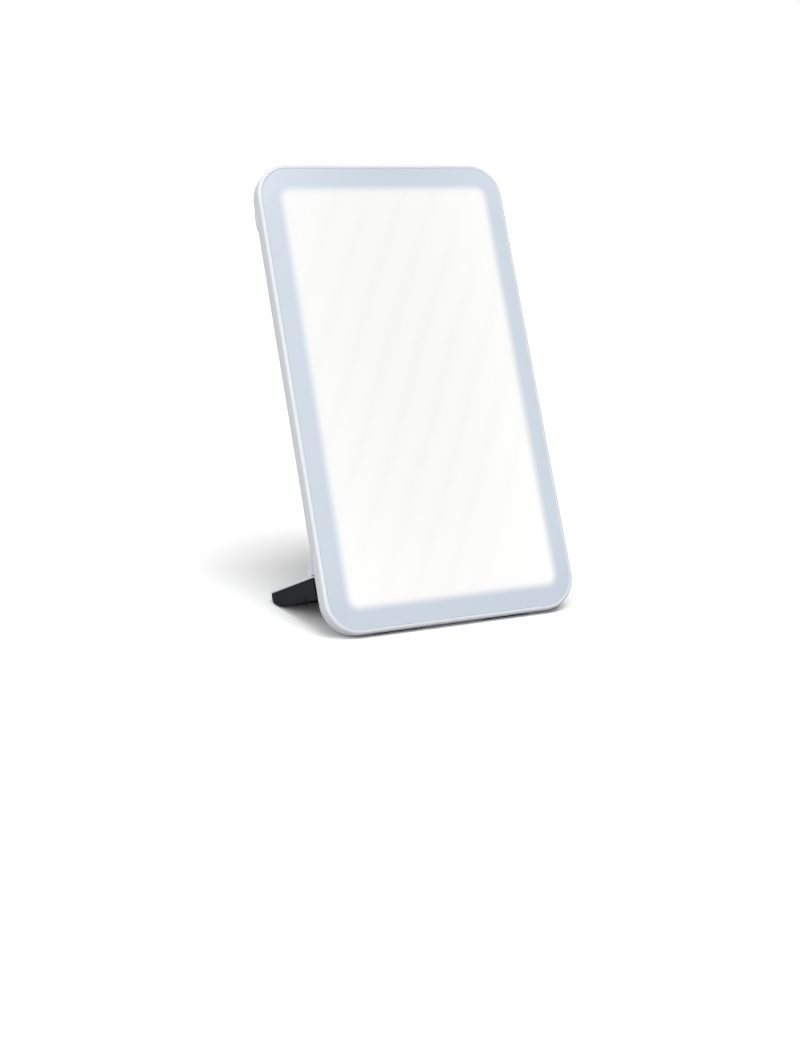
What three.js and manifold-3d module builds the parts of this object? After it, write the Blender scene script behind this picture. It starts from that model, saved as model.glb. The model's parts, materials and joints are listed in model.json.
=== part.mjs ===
// Light therapy lamp: a slim edge-lit panel that leans back on a full-width fold-out foot.
// Millimetres, +Z up. The panel is drawn upright in its own frame, where x runs to the right,
// y runs back from the front face and z runs up from the bottom edge. The whole panel then
// leans back by one turn about X, and the lamp is set down on the floor plane.
import * as THREE from 'three';
import { mergeVertices } from 'three/addons/utils/BufferGeometryUtils.js';
import Module from 'manifold-3d';

const wasm = await Module();
wasm.setup();

// Stance
const leanAngle = THREE.MathUtils.degToRad(23);

// Case outline and section
const caseWidth = 206;
const caseHeight = 358;
const cornerRadius = 26;
const frontEdgeRadius = 2.2;
const partLineDepth = 10;
const partLineGap = 0.4;
const rearWall = 2.1;

// Clearances
const fitGap = 0.3;
const diffuserGap = 0.4;
const buttonGap = 0.35;
const overrun = 1;

// Front frame
const frontLip = 3;
const ledgeWidth = 6;
const ledgeThickness = 1;
const tongueGap = 0.7;
const tongueThickness = 1.2;
const tongueReach = 2;
const supportWidth = 4;
const supportSpacing = 40;
const supportCount = 4;

// Light stack, from front to back
const diffuserRecess = 0.3;
const diffuserThickness = 2;
const filmThickness = 0.3;
const guideThickness = 2.5;
const plateThickness = 0.8;
const plateGap = 0.7;
const unlitSide = 15;
const unlitTop = 16.2;
const unlitBottom = 17;
const guideOverlap = 0.9;

// Light strips and their rails
const ledCount = 20;
const ledGap = 0.4;
const ledDepth = 1.4;
const ledHeight = 2;
const ledLength = 5;
const ledEmbed = 0.2;
const stripThickness = 0.8;
const stripDepth = 2.9;
const stripEndGap = 1.9;
const railThickness = 0.8;
const railFoot = 2;

// Case screws and their bosses
const bossRadius = 2.6;
const bossEndMargin = 21.5;
const bossRailGap = 0.8;
const bossLeadGap = 1;
const bossWeb = 1.4;
const screwShankRadius = 1;
const screwHeadRadius = 2.1;
const screwHeadHeight = 1.2;
const screwHeadSink = 1.6;
const screwLength = 8;
const crossWidth = 0.6;
const crossSpan = 2.4;
const crossDepth = 0.7;
const seatRadius = 3.6;

// Electronics behind the back plate
const boardWidth = 68;
const boardHeight = 44;
const boardBottom = 148;
const boardThickness = 1;
const boardScrewMargin = 4;
const standoffRadius = 2.4;
const boardScrewLength = 4;
const socketHeightOnBoard = 28;
const socketRadius = 4;
const socketBoreRadius = 2.75;
const socketPinRadius = 1;
const socketPinSetback = 1;
const socketFloor = 0.9;
const socketBaseLip = 0.5;
const socketBaseThickness = 1;
const inductorRadius = 5.5;
const inductorHeight = 3.6;
const inductorMargin = 20;
const inductorDrop = 13;
const capacitorRadius = 3.1;
const capacitorHeight = 3.7;
const capacitorMargin = 10;
const capacitorSpacing = 9;
const capacitorDrop = 10;
const chipWidth = 6;
const chipDepth = 5;
const chipThickness = 1.4;
const chipMargin = 32;
const chipHeightOnBoard = 13;
const plugWidth = 8;
const plugDepth = 5;
const plugThickness = 3;
const plugMargin = 3;
const rightPlugMargin = 22;
const switchPlugDrop = 20;
const leadRadius = 0.8;
const leadSteps = 30;
const leadDrop = 9;
const leadTurnHeight = 70;
const switchLeadRun = 10;
const switchLeadRise = 90;

// Power button on the left shoulder of the case
const buttonLength = 13;
const buttonWidth = 3.8;
const buttonSetback = 0.5;
const buttonProud = 0.2;
const buttonCrown = 0.5;
const buttonDrop = 40.5;
const buttonFlangeOverhang = 2;
const buttonFlangeInset = 0.3;
const buttonFlangeThickness = 0.9;
const buttonStemRadius = 1.2;
const buttonStemLength = 1.1;
const plungerRadius = 0.7;
const plungerLength = 2.2;
const plungerHoleDepth = 1.5;
const switchWidth = 4.5;
const switchDepth = 3.3;
const switchHeight = 5;
const switchBoardThickness = 0.8;
const switchBoardWidth = 10;
const switchBoardHeight = 19;
const switchSeatSize = 3;

// Rubber pads
const padProud = 0.3;
const padSink = 0.9;
const basePadLength = 40;
const basePadWidth = 5.4;
const basePadInset = 38;
const footPadInset = 21.8;
const footPadWidth = 10;
const footPadSetback = 4;

// Foot
const footSideInset = 1.2;
const footRootGap = 0.4;
const footRootBottom = 31.5;
const footRootTop = 48.4;
const footTopRise = 3.5;
const footTopRun = 100;
const kneeSetback = 27.4;
const noseHeight = 2.6;
const footCornerRadius = 22;
const soleEdgeRadius = 3;
const topThickness = 1.3;
const topEdgeRadius = 0.5;
const soleWall = 2.2;
const grooveReach = 24.6;
const grooveWidth = 4.5;
const grooveRun = 13.5;
const grooveDepth = 4.6;
const grooveWall = 5;
const footScrewInset = 31.8;
const cavityScrewGap = 7;
const kneeScrewGap = 11;
const footScrewTipGap = 0.8;
const footBossLength = 5.5;
const postRadius = 3.4;

// Hinge
const knuckleRadius = 3.3;
const knuckleGap = 0.4;
const knuckleStand = 2.9;
const caseKnuckleLength = 16;
const footKnuckleLength = 40;
const fairingHeight = 8.2;
const neckReach = 9;
const pinRadius = 1.1;
const pinBlindWall = 2;
const sleeveWall = 0.5;
const sleeveLength = 16;
const sleeveSlit = 1.2;
const sleeveSetback = 2.4;

// Facets
const cornerSteps = 8;
const edgeSteps = 5;
const roundSides = 24;
const smallSides = 12;
const leadSides = 8;
const noseSteps = 8;

// Depths and heights that follow from the sizes above, from the front of the case to its back
const halfWidth = caseWidth / 2;
const diffuserBack = diffuserRecess + diffuserThickness;
const ledgeFront = diffuserBack + fitGap;
const ledgeBack = ledgeFront + ledgeThickness;
const filmFront = ledgeBack + fitGap;
const prismFront = filmFront + filmThickness + fitGap;
const guideFront = prismFront + filmThickness + fitGap;
const guideBack = guideFront + guideThickness;
const reflectorFront = guideBack + fitGap;
const plateFront = reflectorFront + filmThickness + fitGap;
const plateBack = plateFront + plateThickness;
const boardFront = plateBack + screwHeadHeight + 2 * fitGap;
const boardBack = boardFront + boardThickness;
const partsFront = boardBack + fitGap;
const partsBack = partsFront + Math.max(inductorHeight, capacitorHeight, plugThickness, chipThickness);
const buttonCentreDepth = partLineDepth + buttonSetback + buttonWidth / 2;
const switchBoardFront = buttonCentreDepth + switchDepth / 2 + fitGap;
const rearInner = Math.max(partsBack, switchBoardFront + switchBoardThickness) + fitGap;
const caseDepth = rearInner + rearWall;
const rearEdgeRadius = caseDepth - partLineDepth;

const sideWall = frontLip - diffuserGap;
const tongueInset = rearWall + tongueGap;
const tongueInner = tongueInset + tongueThickness;
const plateInset = tongueInner + plateGap;
const guideHalfWidth = halfWidth - frontLip - unlitSide + guideOverlap;
const guideBottom = frontLip + unlitBottom - guideOverlap;
const guideTop = caseHeight - frontLip - unlitTop + guideOverlap;
const stripFace = guideHalfWidth + ledGap + ledDepth;
const railFace = stripFace + stripThickness + fitGap;
const stripFront = (guideFront + guideBack - stripDepth) / 2;
const stripBottom = bossEndMargin + bossRadius + stripEndGap;
const stripTop = caseHeight - stripBottom;
const leadX = stripFace + stripThickness / 2;
const bossEndX = leadX + leadRadius + bossLeadGap + bossRadius;
const bossMiddleX = railFace + railFoot + bossRailGap + bossRadius;
const seatFront = rearInner - (screwHeadSink + bossWeb - rearWall);
const bossEnd = seatFront - fitGap;
const screwHoleRadius = screwShankRadius + fitGap;

const boardTop = boardBottom + boardHeight;
const boardScrewX = boardWidth / 2 - boardScrewMargin;
const socketCentreHeight = boardBottom + socketHeightOnBoard;
const socketBase = 2 * (socketRadius + socketBaseLip);
const boardHalfWidth = boardWidth / 2;
const leftPlugX = plugMargin + plugWidth / 2 - boardHalfWidth;
const rightPlugX = boardHalfWidth - rightPlugMargin;
const switchPlugX = plugWidth / 2 - boardHalfWidth;

const buttonFace = -(halfWidth + buttonProud);
const buttonCapDepth = buttonProud + tongueInner + fitGap;
const buttonCentreHeight = caseHeight - buttonDrop;
const buttonFlangeLength = buttonLength + 2 * buttonFlangeOverhang;
const buttonFlangeWidth = buttonWidth - 2 * buttonFlangeInset;
const flangeFace = buttonFace + buttonCapDepth;
const stemFace = flangeFace + buttonFlangeThickness;
const plungerFace = stemFace + buttonStemLength + fitGap;
const switchFace = plungerFace + plungerHoleDepth;
const switchBoardBottom = buttonCentreHeight - switchBoardHeight / 2;

// The floor touches the pads below the rear bottom edge of the case.
const leanSin = Math.sin(leanAngle);
const leanCos = Math.cos(leanAngle);
const contactHeight = rearEdgeRadius * leanCos - partLineDepth * leanSin - rearEdgeRadius;
const contactReach = partLineDepth * leanCos + rearEdgeRadius * leanSin;
const floorHeight = contactHeight - padProud;
const padThickness = padProud + padSink;

// The foot's own lines: its top, its underside, and the facet that lies along the floor.
const footHalfWidth = halfWidth - footSideInset;
const footRoot = caseDepth + footRootGap;
const footTopSlope = footTopRise / footTopRun;
const facetHeight = (depth) => (floorHeight + padProud + depth * leanSin) / leanCos;
const footTop = (depth) => footRootTop + (depth - caseDepth) * footTopSlope;
const facetSlope = leanSin / leanCos;
const noseDepth = (footTop(0) - facetHeight(0) - noseHeight) / (facetSlope - footTopSlope);
const kneeDepth = noseDepth - kneeSetback;
const kneeHeight = facetHeight(kneeDepth);
const footBottom = (depth) => (depth > kneeDepth
  ? facetHeight(depth)
  : THREE.MathUtils.mapLinear(depth, footRoot, kneeDepth, footRootBottom, kneeHeight));
const soleTop = (depth) => footTop(depth) - topThickness - fitGap;
const grooveFront = footRoot + grooveReach;
const grooveBack = grooveFront + grooveWidth;
const grooveTip = grooveFront - grooveRun;
const cavityFront = grooveBack + grooveWall;
const cavityBack = noseDepth - footCornerRadius;
const footScrewX = footHalfWidth - footScrewInset;
const footScrewDepths = [cavityFront + cavityScrewGap, kneeDepth - kneeScrewGap];
const footScrewSeat = (depth) => footBottom(depth) + screwHeadSink - fitGap;
const footScrewLength = Math.min(
  ...footScrewDepths.map((depth) => soleTop(depth) - footScrewTipGap - footScrewSeat(depth)));
const footPadHalfLength = footHalfWidth - footPadInset;

const axisDepth = caseDepth + knuckleStand + knuckleRadius;
const axisHeight = footTop(axisDepth) + knuckleGap + knuckleRadius;
const caseKnuckleEnd = footHalfWidth - caseKnuckleLength;
const footKnuckleStart = caseKnuckleEnd - knuckleGap - footKnuckleLength;
const footKnuckleEnd = caseKnuckleEnd - knuckleGap;
const pinHoleRadius = pinRadius + fitGap;
const pinEnd = footHalfWidth - pinBlindWall - fitGap;

// Finishes
function finish(color, roughness, metalness = 0) {
  return new THREE.MeshStandardMaterial({ color, roughness, metalness });
}

const whiteShell = finish(0xeef0f4, 0.42);
const opalAcrylic = finish(0xe9f1f8, 0.3);
opalAcrylic.emissive.set(0xffffff);
opalAcrylic.emissiveIntensity = 0.4;
const clearAcrylic = finish(0xdfeaf2, 0.12);
const whiteFilm = finish(0xf6f7f8, 0.6);
const charcoalShell = finish(0x1e2124, 0.62);
const padRubber = finish(0x2a2c2f, 0.85);
const aluminium = finish(0xb9bec4, 0.4, 1);
const steel = finish(0x9a9da1, 0.35, 1);
const whiteBoard = finish(0xf1f3f0, 0.5);
const greenBoard = finish(0x1f5a3a, 0.5);
const blackPart = finish(0x17181a, 0.5);
const leadJacket = finish(0xd9dadc, 0.55);
const plugPlastic = finish(0xe8e4d8, 0.5);

// Solids: closed meshes joined and cut
function outward(geometry) {
  const index = geometry.index.array;
  const place = geometry.attributes.position;
  const corners = [new THREE.Vector3(), new THREE.Vector3(), new THREE.Vector3()];
  let volume = 0;
  for (let i = 0; i < index.length; i += 3) {
    corners.forEach((corner, k) => corner.fromBufferAttribute(place, index[i + k]));
    volume += corners[0].dot(corners[1].clone().cross(corners[2]));
  }
  if (volume < 0) {
    for (let i = 0; i < index.length; i += 3) {
      [index[i + 1], index[i + 2]] = [index[i + 2], index[i + 1]];
    }
  }
  return geometry;
}

function toSolid(geometry) {
  const bare = geometry.clone();
  bare.deleteAttribute('normal');
  bare.deleteAttribute('uv');
  const merged = outward(mergeVertices(bare));
  return new wasm.Manifold(new wasm.Mesh({
    numProp: 3,
    vertProperties: new Float32Array(merged.attributes.position.array),
    triVerts: new Uint32Array(merged.index.array),
  }));
}

function toGeometry(solid) {
  const mesh = solid.getMesh();
  const geometry = new THREE.BufferGeometry();
  geometry.setAttribute('position', new THREE.BufferAttribute(mesh.vertProperties, 3));
  geometry.setIndex(new THREE.BufferAttribute(mesh.triVerts, 1));
  geometry.computeVertexNormals();
  return geometry;
}

function shaped(base, { add = [], cut = [] }) {
  let solid = toSolid(base);
  for (const piece of add) solid = solid.add(toSolid(piece));
  for (const piece of cut) solid = solid.subtract(toSolid(piece));
  return toGeometry(solid);
}

// Plain shapes between two limits on each axis
function block([x0, x1], [y0, y1], [z0, z1]) {
  const box = new THREE.BoxGeometry(x1 - x0, y1 - y0, z1 - z0);
  return box.translate((x0 + x1) / 2, (y0 + y1) / 2, (z0 + z1) / 2);
}

function rodAlongY(x, z, radius, [y0, y1], sides = roundSides) {
  const rod = new THREE.CylinderGeometry(radius, radius, y1 - y0, sides);
  return rod.translate(x, (y0 + y1) / 2, z);
}

function rodAlongX(y, z, radius, [x0, x1], sides = roundSides) {
  const rod = new THREE.CylinderGeometry(radius, radius, x1 - x0, sides);
  return rod.rotateZ(Math.PI / 2).translate((x0 + x1) / 2, y, z);
}

function rodAlongZ(x, y, radius, [z0, z1], sides = roundSides) {
  const rod = new THREE.CylinderGeometry(radius, radius, z1 - z0, sides);
  return rod.rotateX(Math.PI / 2).translate(x, y, (z0 + z1) / 2);
}

// An outline drawn in depth and height, carried across the lamp from x0 to x1
function across(shape, [x0, x1], curveSegments = edgeSteps) {
  const slab = new THREE.ExtrudeGeometry(shape, { depth: x1 - x0, bevelEnabled: false, curveSegments });
  const turn = new THREE.Matrix4().makeBasis(
    new THREE.Vector3(0, 1, 0), new THREE.Vector3(0, 0, 1), new THREE.Vector3(1, 0, 0));
  return slab.applyMatrix4(turn).translate(x0, 0, 0);
}

// A box that is square to the floor, given in the lamp's upright frame and leaned with the panel
function floorBlock(spanX, spanY, spanZ) {
  return block(spanX, spanY, spanZ).rotateX(leanAngle);
}

// A closed skin through loops of points; the first and last loops are capped or joined
function skin(loops, closed) {
  const count = loops[0].length;
  const points = loops.flat();
  const faces = [];
  const rows = closed ? loops.length : loops.length - 1;
  for (let row = 0; row < rows; row += 1) {
    const next = (row + 1) % loops.length;
    for (let i = 0; i < count; i += 1) {
      const j = (i + 1) % count;
      const [a, b, c, d] = [row * count + i, row * count + j, next * count + j, next * count + i];
      faces.push(a, b, c, a, c, d);
    }
  }
  if (!closed) {
    const last = (loops.length - 1) * count;
    for (let i = 1; i < count - 1; i += 1) {
      faces.push(0, i + 1, i, last, last + i, last + i + 1);
    }
  }
  const geometry = new THREE.BufferGeometry().setFromPoints(points);
  geometry.setIndex(faces);
  return toGeometry(toSolid(geometry));
}

// The case outline, drawn in by an inset, at one depth
function caseLoop(inset, depth) {
  const radius = cornerRadius - inset;
  const loop = [];
  const corners = [[1, 0], [1, 1], [-1, 1], [-1, 0]];
  corners.forEach(([side, top], quarter) => {
    const centreX = side * (halfWidth - cornerRadius);
    const centreZ = top ? caseHeight - cornerRadius : cornerRadius;
    for (let step = 0; step <= cornerSteps; step += 1) {
      const angle = (quarter - 1 + step / cornerSteps) * Math.PI / 2;
      loop.push(new THREE.Vector3(
        centreX + radius * Math.cos(angle), depth, centreZ + radius * Math.sin(angle)));
    }
  });
  return loop;
}

function caseSkin(profile, closed) {
  return skin(profile.map(([inset, depth]) => caseLoop(inset, depth)), closed);
}

function arcProfile(centreInset, centreDepth, radius, fromAngle, toAngle) {
  return Array.from({ length: edgeSteps + 1 }, (_, step) => {
    const angle = THREE.MathUtils.lerp(fromAngle, toAngle, step / edgeSteps);
    return [centreInset - radius * Math.cos(angle), centreDepth + radius * Math.sin(angle)];
  });
}

// Assembly
const lamp = new THREE.Group();
const panel = new THREE.Group();
const foot = new THREE.Group();
const button = new THREE.Group();
panel.rotation.x = -leanAngle;
panel.add(foot, button);
lamp.add(panel);

function place(group, name, geometry, material, position = [0, 0, 0]) {
  const mesh = new THREE.Mesh(geometry, material);
  mesh.name = name;
  mesh.position.set(...position);
  group.add(mesh);
}

const sides = [['left', -1], ['right', 1]];
const caseScrewPlaces = [-1, 1].flatMap((side) => [
  [side * bossEndX, bossEndMargin],
  [side * bossMiddleX, caseHeight / 2],
  [side * bossEndX, caseHeight - bossEndMargin],
]);

// Front frame: the rim around the light, a ledge behind the diffuser and a tongue for the cover
function frontFrame() {
  const lip = arcProfile(
    frontEdgeRadius, frontEdgeRadius, frontEdgeRadius, -Math.PI / 2, 0);
  const rim = caseSkin([
    [sideWall, 0],
    ...lip,
    [0, partLineDepth],
    [tongueInset, partLineDepth],
    [tongueInset, partLineDepth + tongueReach],
    [tongueInner, partLineDepth + tongueReach],
    [tongueInner, partLineDepth - tongueThickness],
    [sideWall, partLineDepth - tongueThickness - tongueInner + sideWall],
    [sideWall, ledgeBack],
    [sideWall + ledgeWidth, ledgeBack],
    [sideWall + ledgeWidth, ledgeFront],
    [sideWall, ledgeFront],
  ], true);
  const bosses = caseScrewPlaces.map(([x, z]) => rodAlongY(x, z, bossRadius, [ledgeFront, bossEnd]));
  const bossWebs = caseScrewPlaces.map(([x, z]) => {
    const wall = Math.sign(x) * (halfWidth - sideWall);
    return block([Math.min(x, wall), Math.max(x, wall)], [ledgeFront, plateFront - fitGap],
      [z - bossRadius / 2, z + bossRadius / 2]);
  });
  const supports = Array.from({ length: supportCount }, (_, i) => {
    const x = (i - (supportCount - 1) / 2) * supportSpacing;
    const span = [x - supportWidth / 2, x + supportWidth / 2];
    return [
      block(span, [ledgeFront, reflectorFront], [sideWall + ledgeWidth / 2, guideBottom - diffuserGap]),
      block(span, [ledgeFront, reflectorFront],
        [guideTop + diffuserGap, caseHeight - sideWall - ledgeWidth / 2]),
    ];
  }).flat();
  const pilots = caseScrewPlaces.map(([x, z]) => (
    rodAlongY(x, z, screwHoleRadius, [seatFront - screwLength, seatFront], smallSides)));
  const buttonSlot = block(
    [-halfWidth, -halfWidth + tongueInner + overrun], [partLineDepth, partLineDepth + tongueReach + overrun],
    [buttonCentreHeight - buttonLength / 2 - buttonGap, buttonCentreHeight + buttonLength / 2 + buttonGap]);
  return shaped(rim, { add: [...bosses, ...bossWebs, ...supports], cut: [...pilots, buttonSlot] });
}

place(panel, 'front_frame', frontFrame(), whiteShell);

// Light stack: diffuser, two films, light guide, reflector and back plate
place(panel, 'diffuser_panel', caseSkin([
  [frontLip, diffuserBack], [frontLip, diffuserRecess],
], false), opalAcrylic);

function sheet(front, thickness) {
  return block([-guideHalfWidth, guideHalfWidth], [front, front + thickness], [guideBottom, guideTop]);
}

place(panel, 'diffusion_film', sheet(filmFront, filmThickness), whiteFilm);
place(panel, 'prism_film', sheet(prismFront, filmThickness), clearAcrylic);
place(panel, 'light_guide', sheet(guideFront, guideThickness), clearAcrylic);
place(panel, 'reflector_sheet', sheet(reflectorFront, filmThickness), whiteFilm);

function backPlate() {
  const holes = caseScrewPlaces.map(([x, z]) => (
    rodAlongY(x, z, bossRadius + fitGap, [plateFront - overrun, plateBack + overrun])));
  const leadNotches = sides.map(([, side]) => {
    const middle = side * (stripFace + stripThickness / 2);
    return block([middle - stripDepth, middle + stripDepth], [plateFront - overrun, plateBack + overrun],
      [0, bossEndMargin - bossRadius * 2]);
  });
  return shaped(caseSkin([[plateInset, plateBack], [plateInset, plateFront]], false),
    { cut: [...holes, ...leadNotches] });
}

place(panel, 'back_plate', backPlate(), aluminium);

// Light strips along the long edges of the guide, each on its aluminium rail
function lightStrip(side) {
  const board = block(
    [stripFace, stripFace + stripThickness], [stripFront, stripFront + stripDepth], [stripBottom, stripTop]);
  const middle = (guideFront + guideBack) / 2;
  const pitch = (stripTop - stripBottom) / ledCount;
  const leds = Array.from({ length: ledCount }, (_, i) => {
    const z = stripBottom + (i + 1 / 2) * pitch;
    return block([stripFace - ledDepth, stripFace + ledEmbed],
      [middle - ledHeight / 2, middle + ledHeight / 2], [z - ledLength / 2, z + ledLength / 2]);
  });
  const strip = shaped(board, { add: leds });
  return side < 0 ? strip.rotateZ(Math.PI).translate(0, 2 * middle, 0) : strip;
}

function lightRail(side) {
  const railBack = plateFront - fitGap;
  const wall = [side * railFace, side * (railFace + railThickness)].sort((a, b) => a - b);
  const base = [side * railFace, side * (railFace + railFoot)].sort((a, b) => a - b);
  return shaped(block(wall, [stripFront, railBack], [stripBottom, stripTop]), {
    add: [block(base, [railBack - railThickness, railBack], [stripBottom, stripTop])],
  });
}

for (const [name, side] of sides) {
  place(panel, `light_strip_${name}`, lightStrip(side), whiteBoard);
  place(panel, `strip_rail_${name}`, lightRail(side), aluminium);
}

// Rear cover: a curved shell with screw seats, hinge knuckles, pad pockets and the button slot
// The angle on the hinge knuckle where a straight line from an outside point touches it
function tangentAngle(fromDepth, fromHeight, turn) {
  const run = fromDepth - axisDepth;
  const rise = fromHeight - axisHeight;
  return Math.atan2(rise, run) + turn * Math.acos(knuckleRadius / Math.hypot(run, rise));
}

function fairing() {
  const shape = new THREE.Shape();
  const top = axisHeight + fairingHeight;
  shape.moveTo(rearInner + overrun, top);
  shape.lineTo(caseDepth, top);
  shape.absarc(axisDepth, axisHeight, knuckleRadius, tangentAngle(caseDepth, top, -1), -Math.PI / 2, true);
  shape.lineTo(rearInner + overrun, axisHeight - knuckleRadius);
  shape.closePath();
  return shape;
}

function basePadBlock(side, gap) {
  const middle = side * (halfWidth - basePadInset - basePadLength / 2);
  return floorBlock([middle - basePadLength / 2 - gap, middle + basePadLength / 2 + gap],
    [contactReach - basePadWidth / 2 - gap, contactReach + basePadWidth / 2 + gap],
    [floorHeight - gap, floorHeight + padThickness + gap]);
}

function buttonOutline(gap) {
  const radius = buttonWidth / 2 + gap;
  const reach = buttonLength / 2 - buttonWidth / 2;
  const shape = new THREE.Shape();
  shape.absarc(buttonCentreDepth, buttonCentreHeight + reach, radius, 0, Math.PI, false);
  shape.absarc(buttonCentreDepth, buttonCentreHeight - reach, radius, Math.PI, 2 * Math.PI, false);
  shape.closePath();
  return shape;
}

const boardScrewPlaces = [
  [-boardScrewX, boardTop - boardScrewMargin],
  [boardScrewX, boardBottom + boardScrewMargin],
];

function rearCover() {
  const outer = arcProfile(rearEdgeRadius, partLineDepth, rearEdgeRadius,
    Math.PI / 2, Math.asin(partLineGap / rearEdgeRadius));
  const innerRadius = rearEdgeRadius - rearWall;
  const inner = arcProfile(rearEdgeRadius, partLineDepth, innerRadius,
    Math.asin(partLineGap / innerRadius), Math.PI / 2);
  const shell = caseSkin([...outer, ...inner], false);
  const seats = caseScrewPlaces.map(([x, z]) => (
    rodAlongY(x, z, seatRadius, [seatFront, caseDepth - overrun])));
  const standoffs = boardScrewPlaces.map(([x, z]) => (
    rodAlongY(x, z, standoffRadius, [partsFront, rearInner + overrun])));
  const knuckles = sides.map(([, side]) => (
    across(fairing(), [side * caseKnuckleEnd, side * footHalfWidth].sort((a, b) => a - b))));
  const switchSeats = [switchBoardBottom, switchBoardBottom + switchBoardHeight - switchSeatSize].map((z) => (
    block([switchFace, switchFace + switchSeatSize],
      [switchBoardFront + switchBoardThickness + fitGap, rearInner + overrun], [z, z + switchSeatSize])));
  const screwHoles = caseScrewPlaces.flatMap(([x, z]) => [
    rodAlongY(x, z, screwHoleRadius, [seatFront - overrun, caseDepth], smallSides),
    rodAlongY(x, z, screwHeadRadius + fitGap, [caseDepth - screwHeadSink, caseDepth + overrun]),
  ]);
  const boardPilots = boardScrewPlaces.map(([x, z]) => (
    rodAlongY(x, z, screwHoleRadius, [partsFront - overrun, partsFront + boardScrewLength], smallSides)));
  const pinHoles = sides.map(([, side]) => {
    const reach = [side * (caseKnuckleEnd - overrun), side * (footHalfWidth - pinBlindWall)];
    return rodAlongX(axisDepth, axisHeight, pinHoleRadius, reach.sort((a, b) => a - b));
  });
  const buttonHole = across(buttonOutline(buttonGap), [-halfWidth - overrun, -halfWidth + rearEdgeRadius]);
  const buttonMouth = block([-halfWidth - overrun, -halfWidth + rearEdgeRadius],
    [partLineDepth, buttonCentreDepth],
    [buttonCentreHeight - buttonLength / 2 - buttonGap, buttonCentreHeight + buttonLength / 2 + buttonGap]);
  const socketHole = rodAlongY(0, socketCentreHeight, socketRadius + fitGap,
    [rearInner - overrun, caseDepth + overrun]);
  const padPockets = sides.map(([, side]) => basePadBlock(side, fitGap));
  return shaped(shell, {
    add: [...seats, ...standoffs, ...knuckles, ...switchSeats],
    cut: [...screwHoles, ...boardPilots, ...pinHoles, buttonHole, buttonMouth, socketHole, ...padPockets],
  });
}

place(panel, 'rear_cover', rearCover(), whiteShell);
for (const [name, side] of sides) {
  place(panel, `base_pad_${name}`, basePadBlock(side, 0), padRubber);
}

// Cross-head screws, drawn with the head's underside at the origin and the shank towards -Y
function screw(length) {
  const cross = [
    block([-crossSpan / 2, crossSpan / 2], [screwHeadHeight - crossDepth, screwHeadHeight + overrun],
      [-crossWidth / 2, crossWidth / 2]),
    block([-crossWidth / 2, crossWidth / 2], [screwHeadHeight - crossDepth, screwHeadHeight + overrun],
      [-crossSpan / 2, crossSpan / 2]),
  ];
  return shaped(rodAlongY(0, 0, screwHeadRadius, [0, screwHeadHeight], smallSides), {
    add: [rodAlongY(0, 0, screwShankRadius, [-length, crossWidth / 2], smallSides)],
    cut: cross,
  });
}

const caseScrew = screw(screwLength);
caseScrewPlaces.forEach(([x, z], i) => {
  place(panel, `case_screw_${i + 1}`, caseScrew, steel, [x, caseDepth - screwHeadSink + fitGap, z]);
});

// Driver board and what is soldered on it
function driverBoard() {
  const holes = boardScrewPlaces.map(([x, z]) => (
    rodAlongY(x, z, screwHoleRadius, [boardFront - overrun, boardBack + overrun], smallSides)));
  return shaped(block([-boardWidth / 2, boardWidth / 2], [boardFront, boardBack], [boardBottom, boardTop]),
    { cut: holes });
}

function powerSocket() {
  const mouth = caseDepth - fitGap;
  const centre = socketCentreHeight;
  const base = block([-socketBase / 2, socketBase / 2], [partsFront, partsFront + socketBaseThickness],
    [centre - socketBase / 2, centre + socketBase / 2]);
  const barrel = shaped(base, {
    add: [rodAlongY(0, centre, socketRadius, [partsFront, mouth])],
    cut: [rodAlongY(0, centre, socketBoreRadius, [partsFront + socketFloor, mouth + overrun])],
  });
  return shaped(barrel, {
    add: [rodAlongY(0, centre, socketPinRadius, [partsFront, mouth - socketPinSetback], smallSides)],
  });
}

place(panel, 'driver_board', driverBoard(), greenBoard);
const boardScrew = screw(boardScrewLength).rotateZ(Math.PI);
boardScrewPlaces.forEach(([x, z], i) => {
  place(panel, `board_screw_${i + 1}`, boardScrew, steel, [x, boardFront - fitGap, z]);
});
place(panel, 'power_socket', powerSocket(), blackPart);
place(panel, 'inductor', rodAlongY(0, 0, inductorRadius, [0, inductorHeight]), blackPart,
  [inductorMargin - boardHalfWidth, partsFront, boardTop - inductorDrop]);
for (const i of [1, 2]) {
  place(panel, `capacitor_${i}`, rodAlongY(0, 0, capacitorRadius, [0, capacitorHeight]), aluminium,
    [boardHalfWidth - capacitorMargin - (2 - i) * capacitorSpacing, partsFront, boardTop - capacitorDrop]);
}
const chipBody = block([-chipWidth / 2, chipWidth / 2], [0, chipThickness], [-chipDepth / 2, chipDepth / 2]);
place(panel, 'driver_chip', chipBody, blackPart,
  [chipMargin - boardHalfWidth, partsFront, boardBottom + chipHeightOnBoard]);

const plugBody = block([-plugWidth / 2, plugWidth / 2], [0, plugThickness], [-plugDepth / 2, plugDepth / 2]);
place(panel, 'lead_plug_left', plugBody, plugPlastic, [leftPlugX, partsFront, boardBottom + plugMargin]);
place(panel, 'lead_plug_right', plugBody, plugPlastic, [rightPlugX, partsFront, boardBottom + plugMargin]);
place(panel, 'lead_plug_switch', plugBody, plugPlastic,
  [switchPlugX, partsFront, boardTop - switchPlugDrop]);

// Internal leads, each a two-core cable of one diameter
function lead(points) {
  const corners = points.map((point) => new THREE.Vector3(...point));
  const path = new THREE.CatmullRomCurve3(corners, false, 'centripetal');
  const ring = new THREE.Shape();
  ring.absarc(0, 0, leadRadius, 0, 2 * Math.PI, false);
  return new THREE.ExtrudeGeometry(ring, {
    steps: leadSteps, extrudePath: path, curveSegments: leadSides / 2,
  });
}

const leadDepth = partsFront + plugThickness / 2;
const leadFront = stripFront + stripDepth / 2;
const cornerHeight = bossEndMargin - bossRadius * 3;

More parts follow.
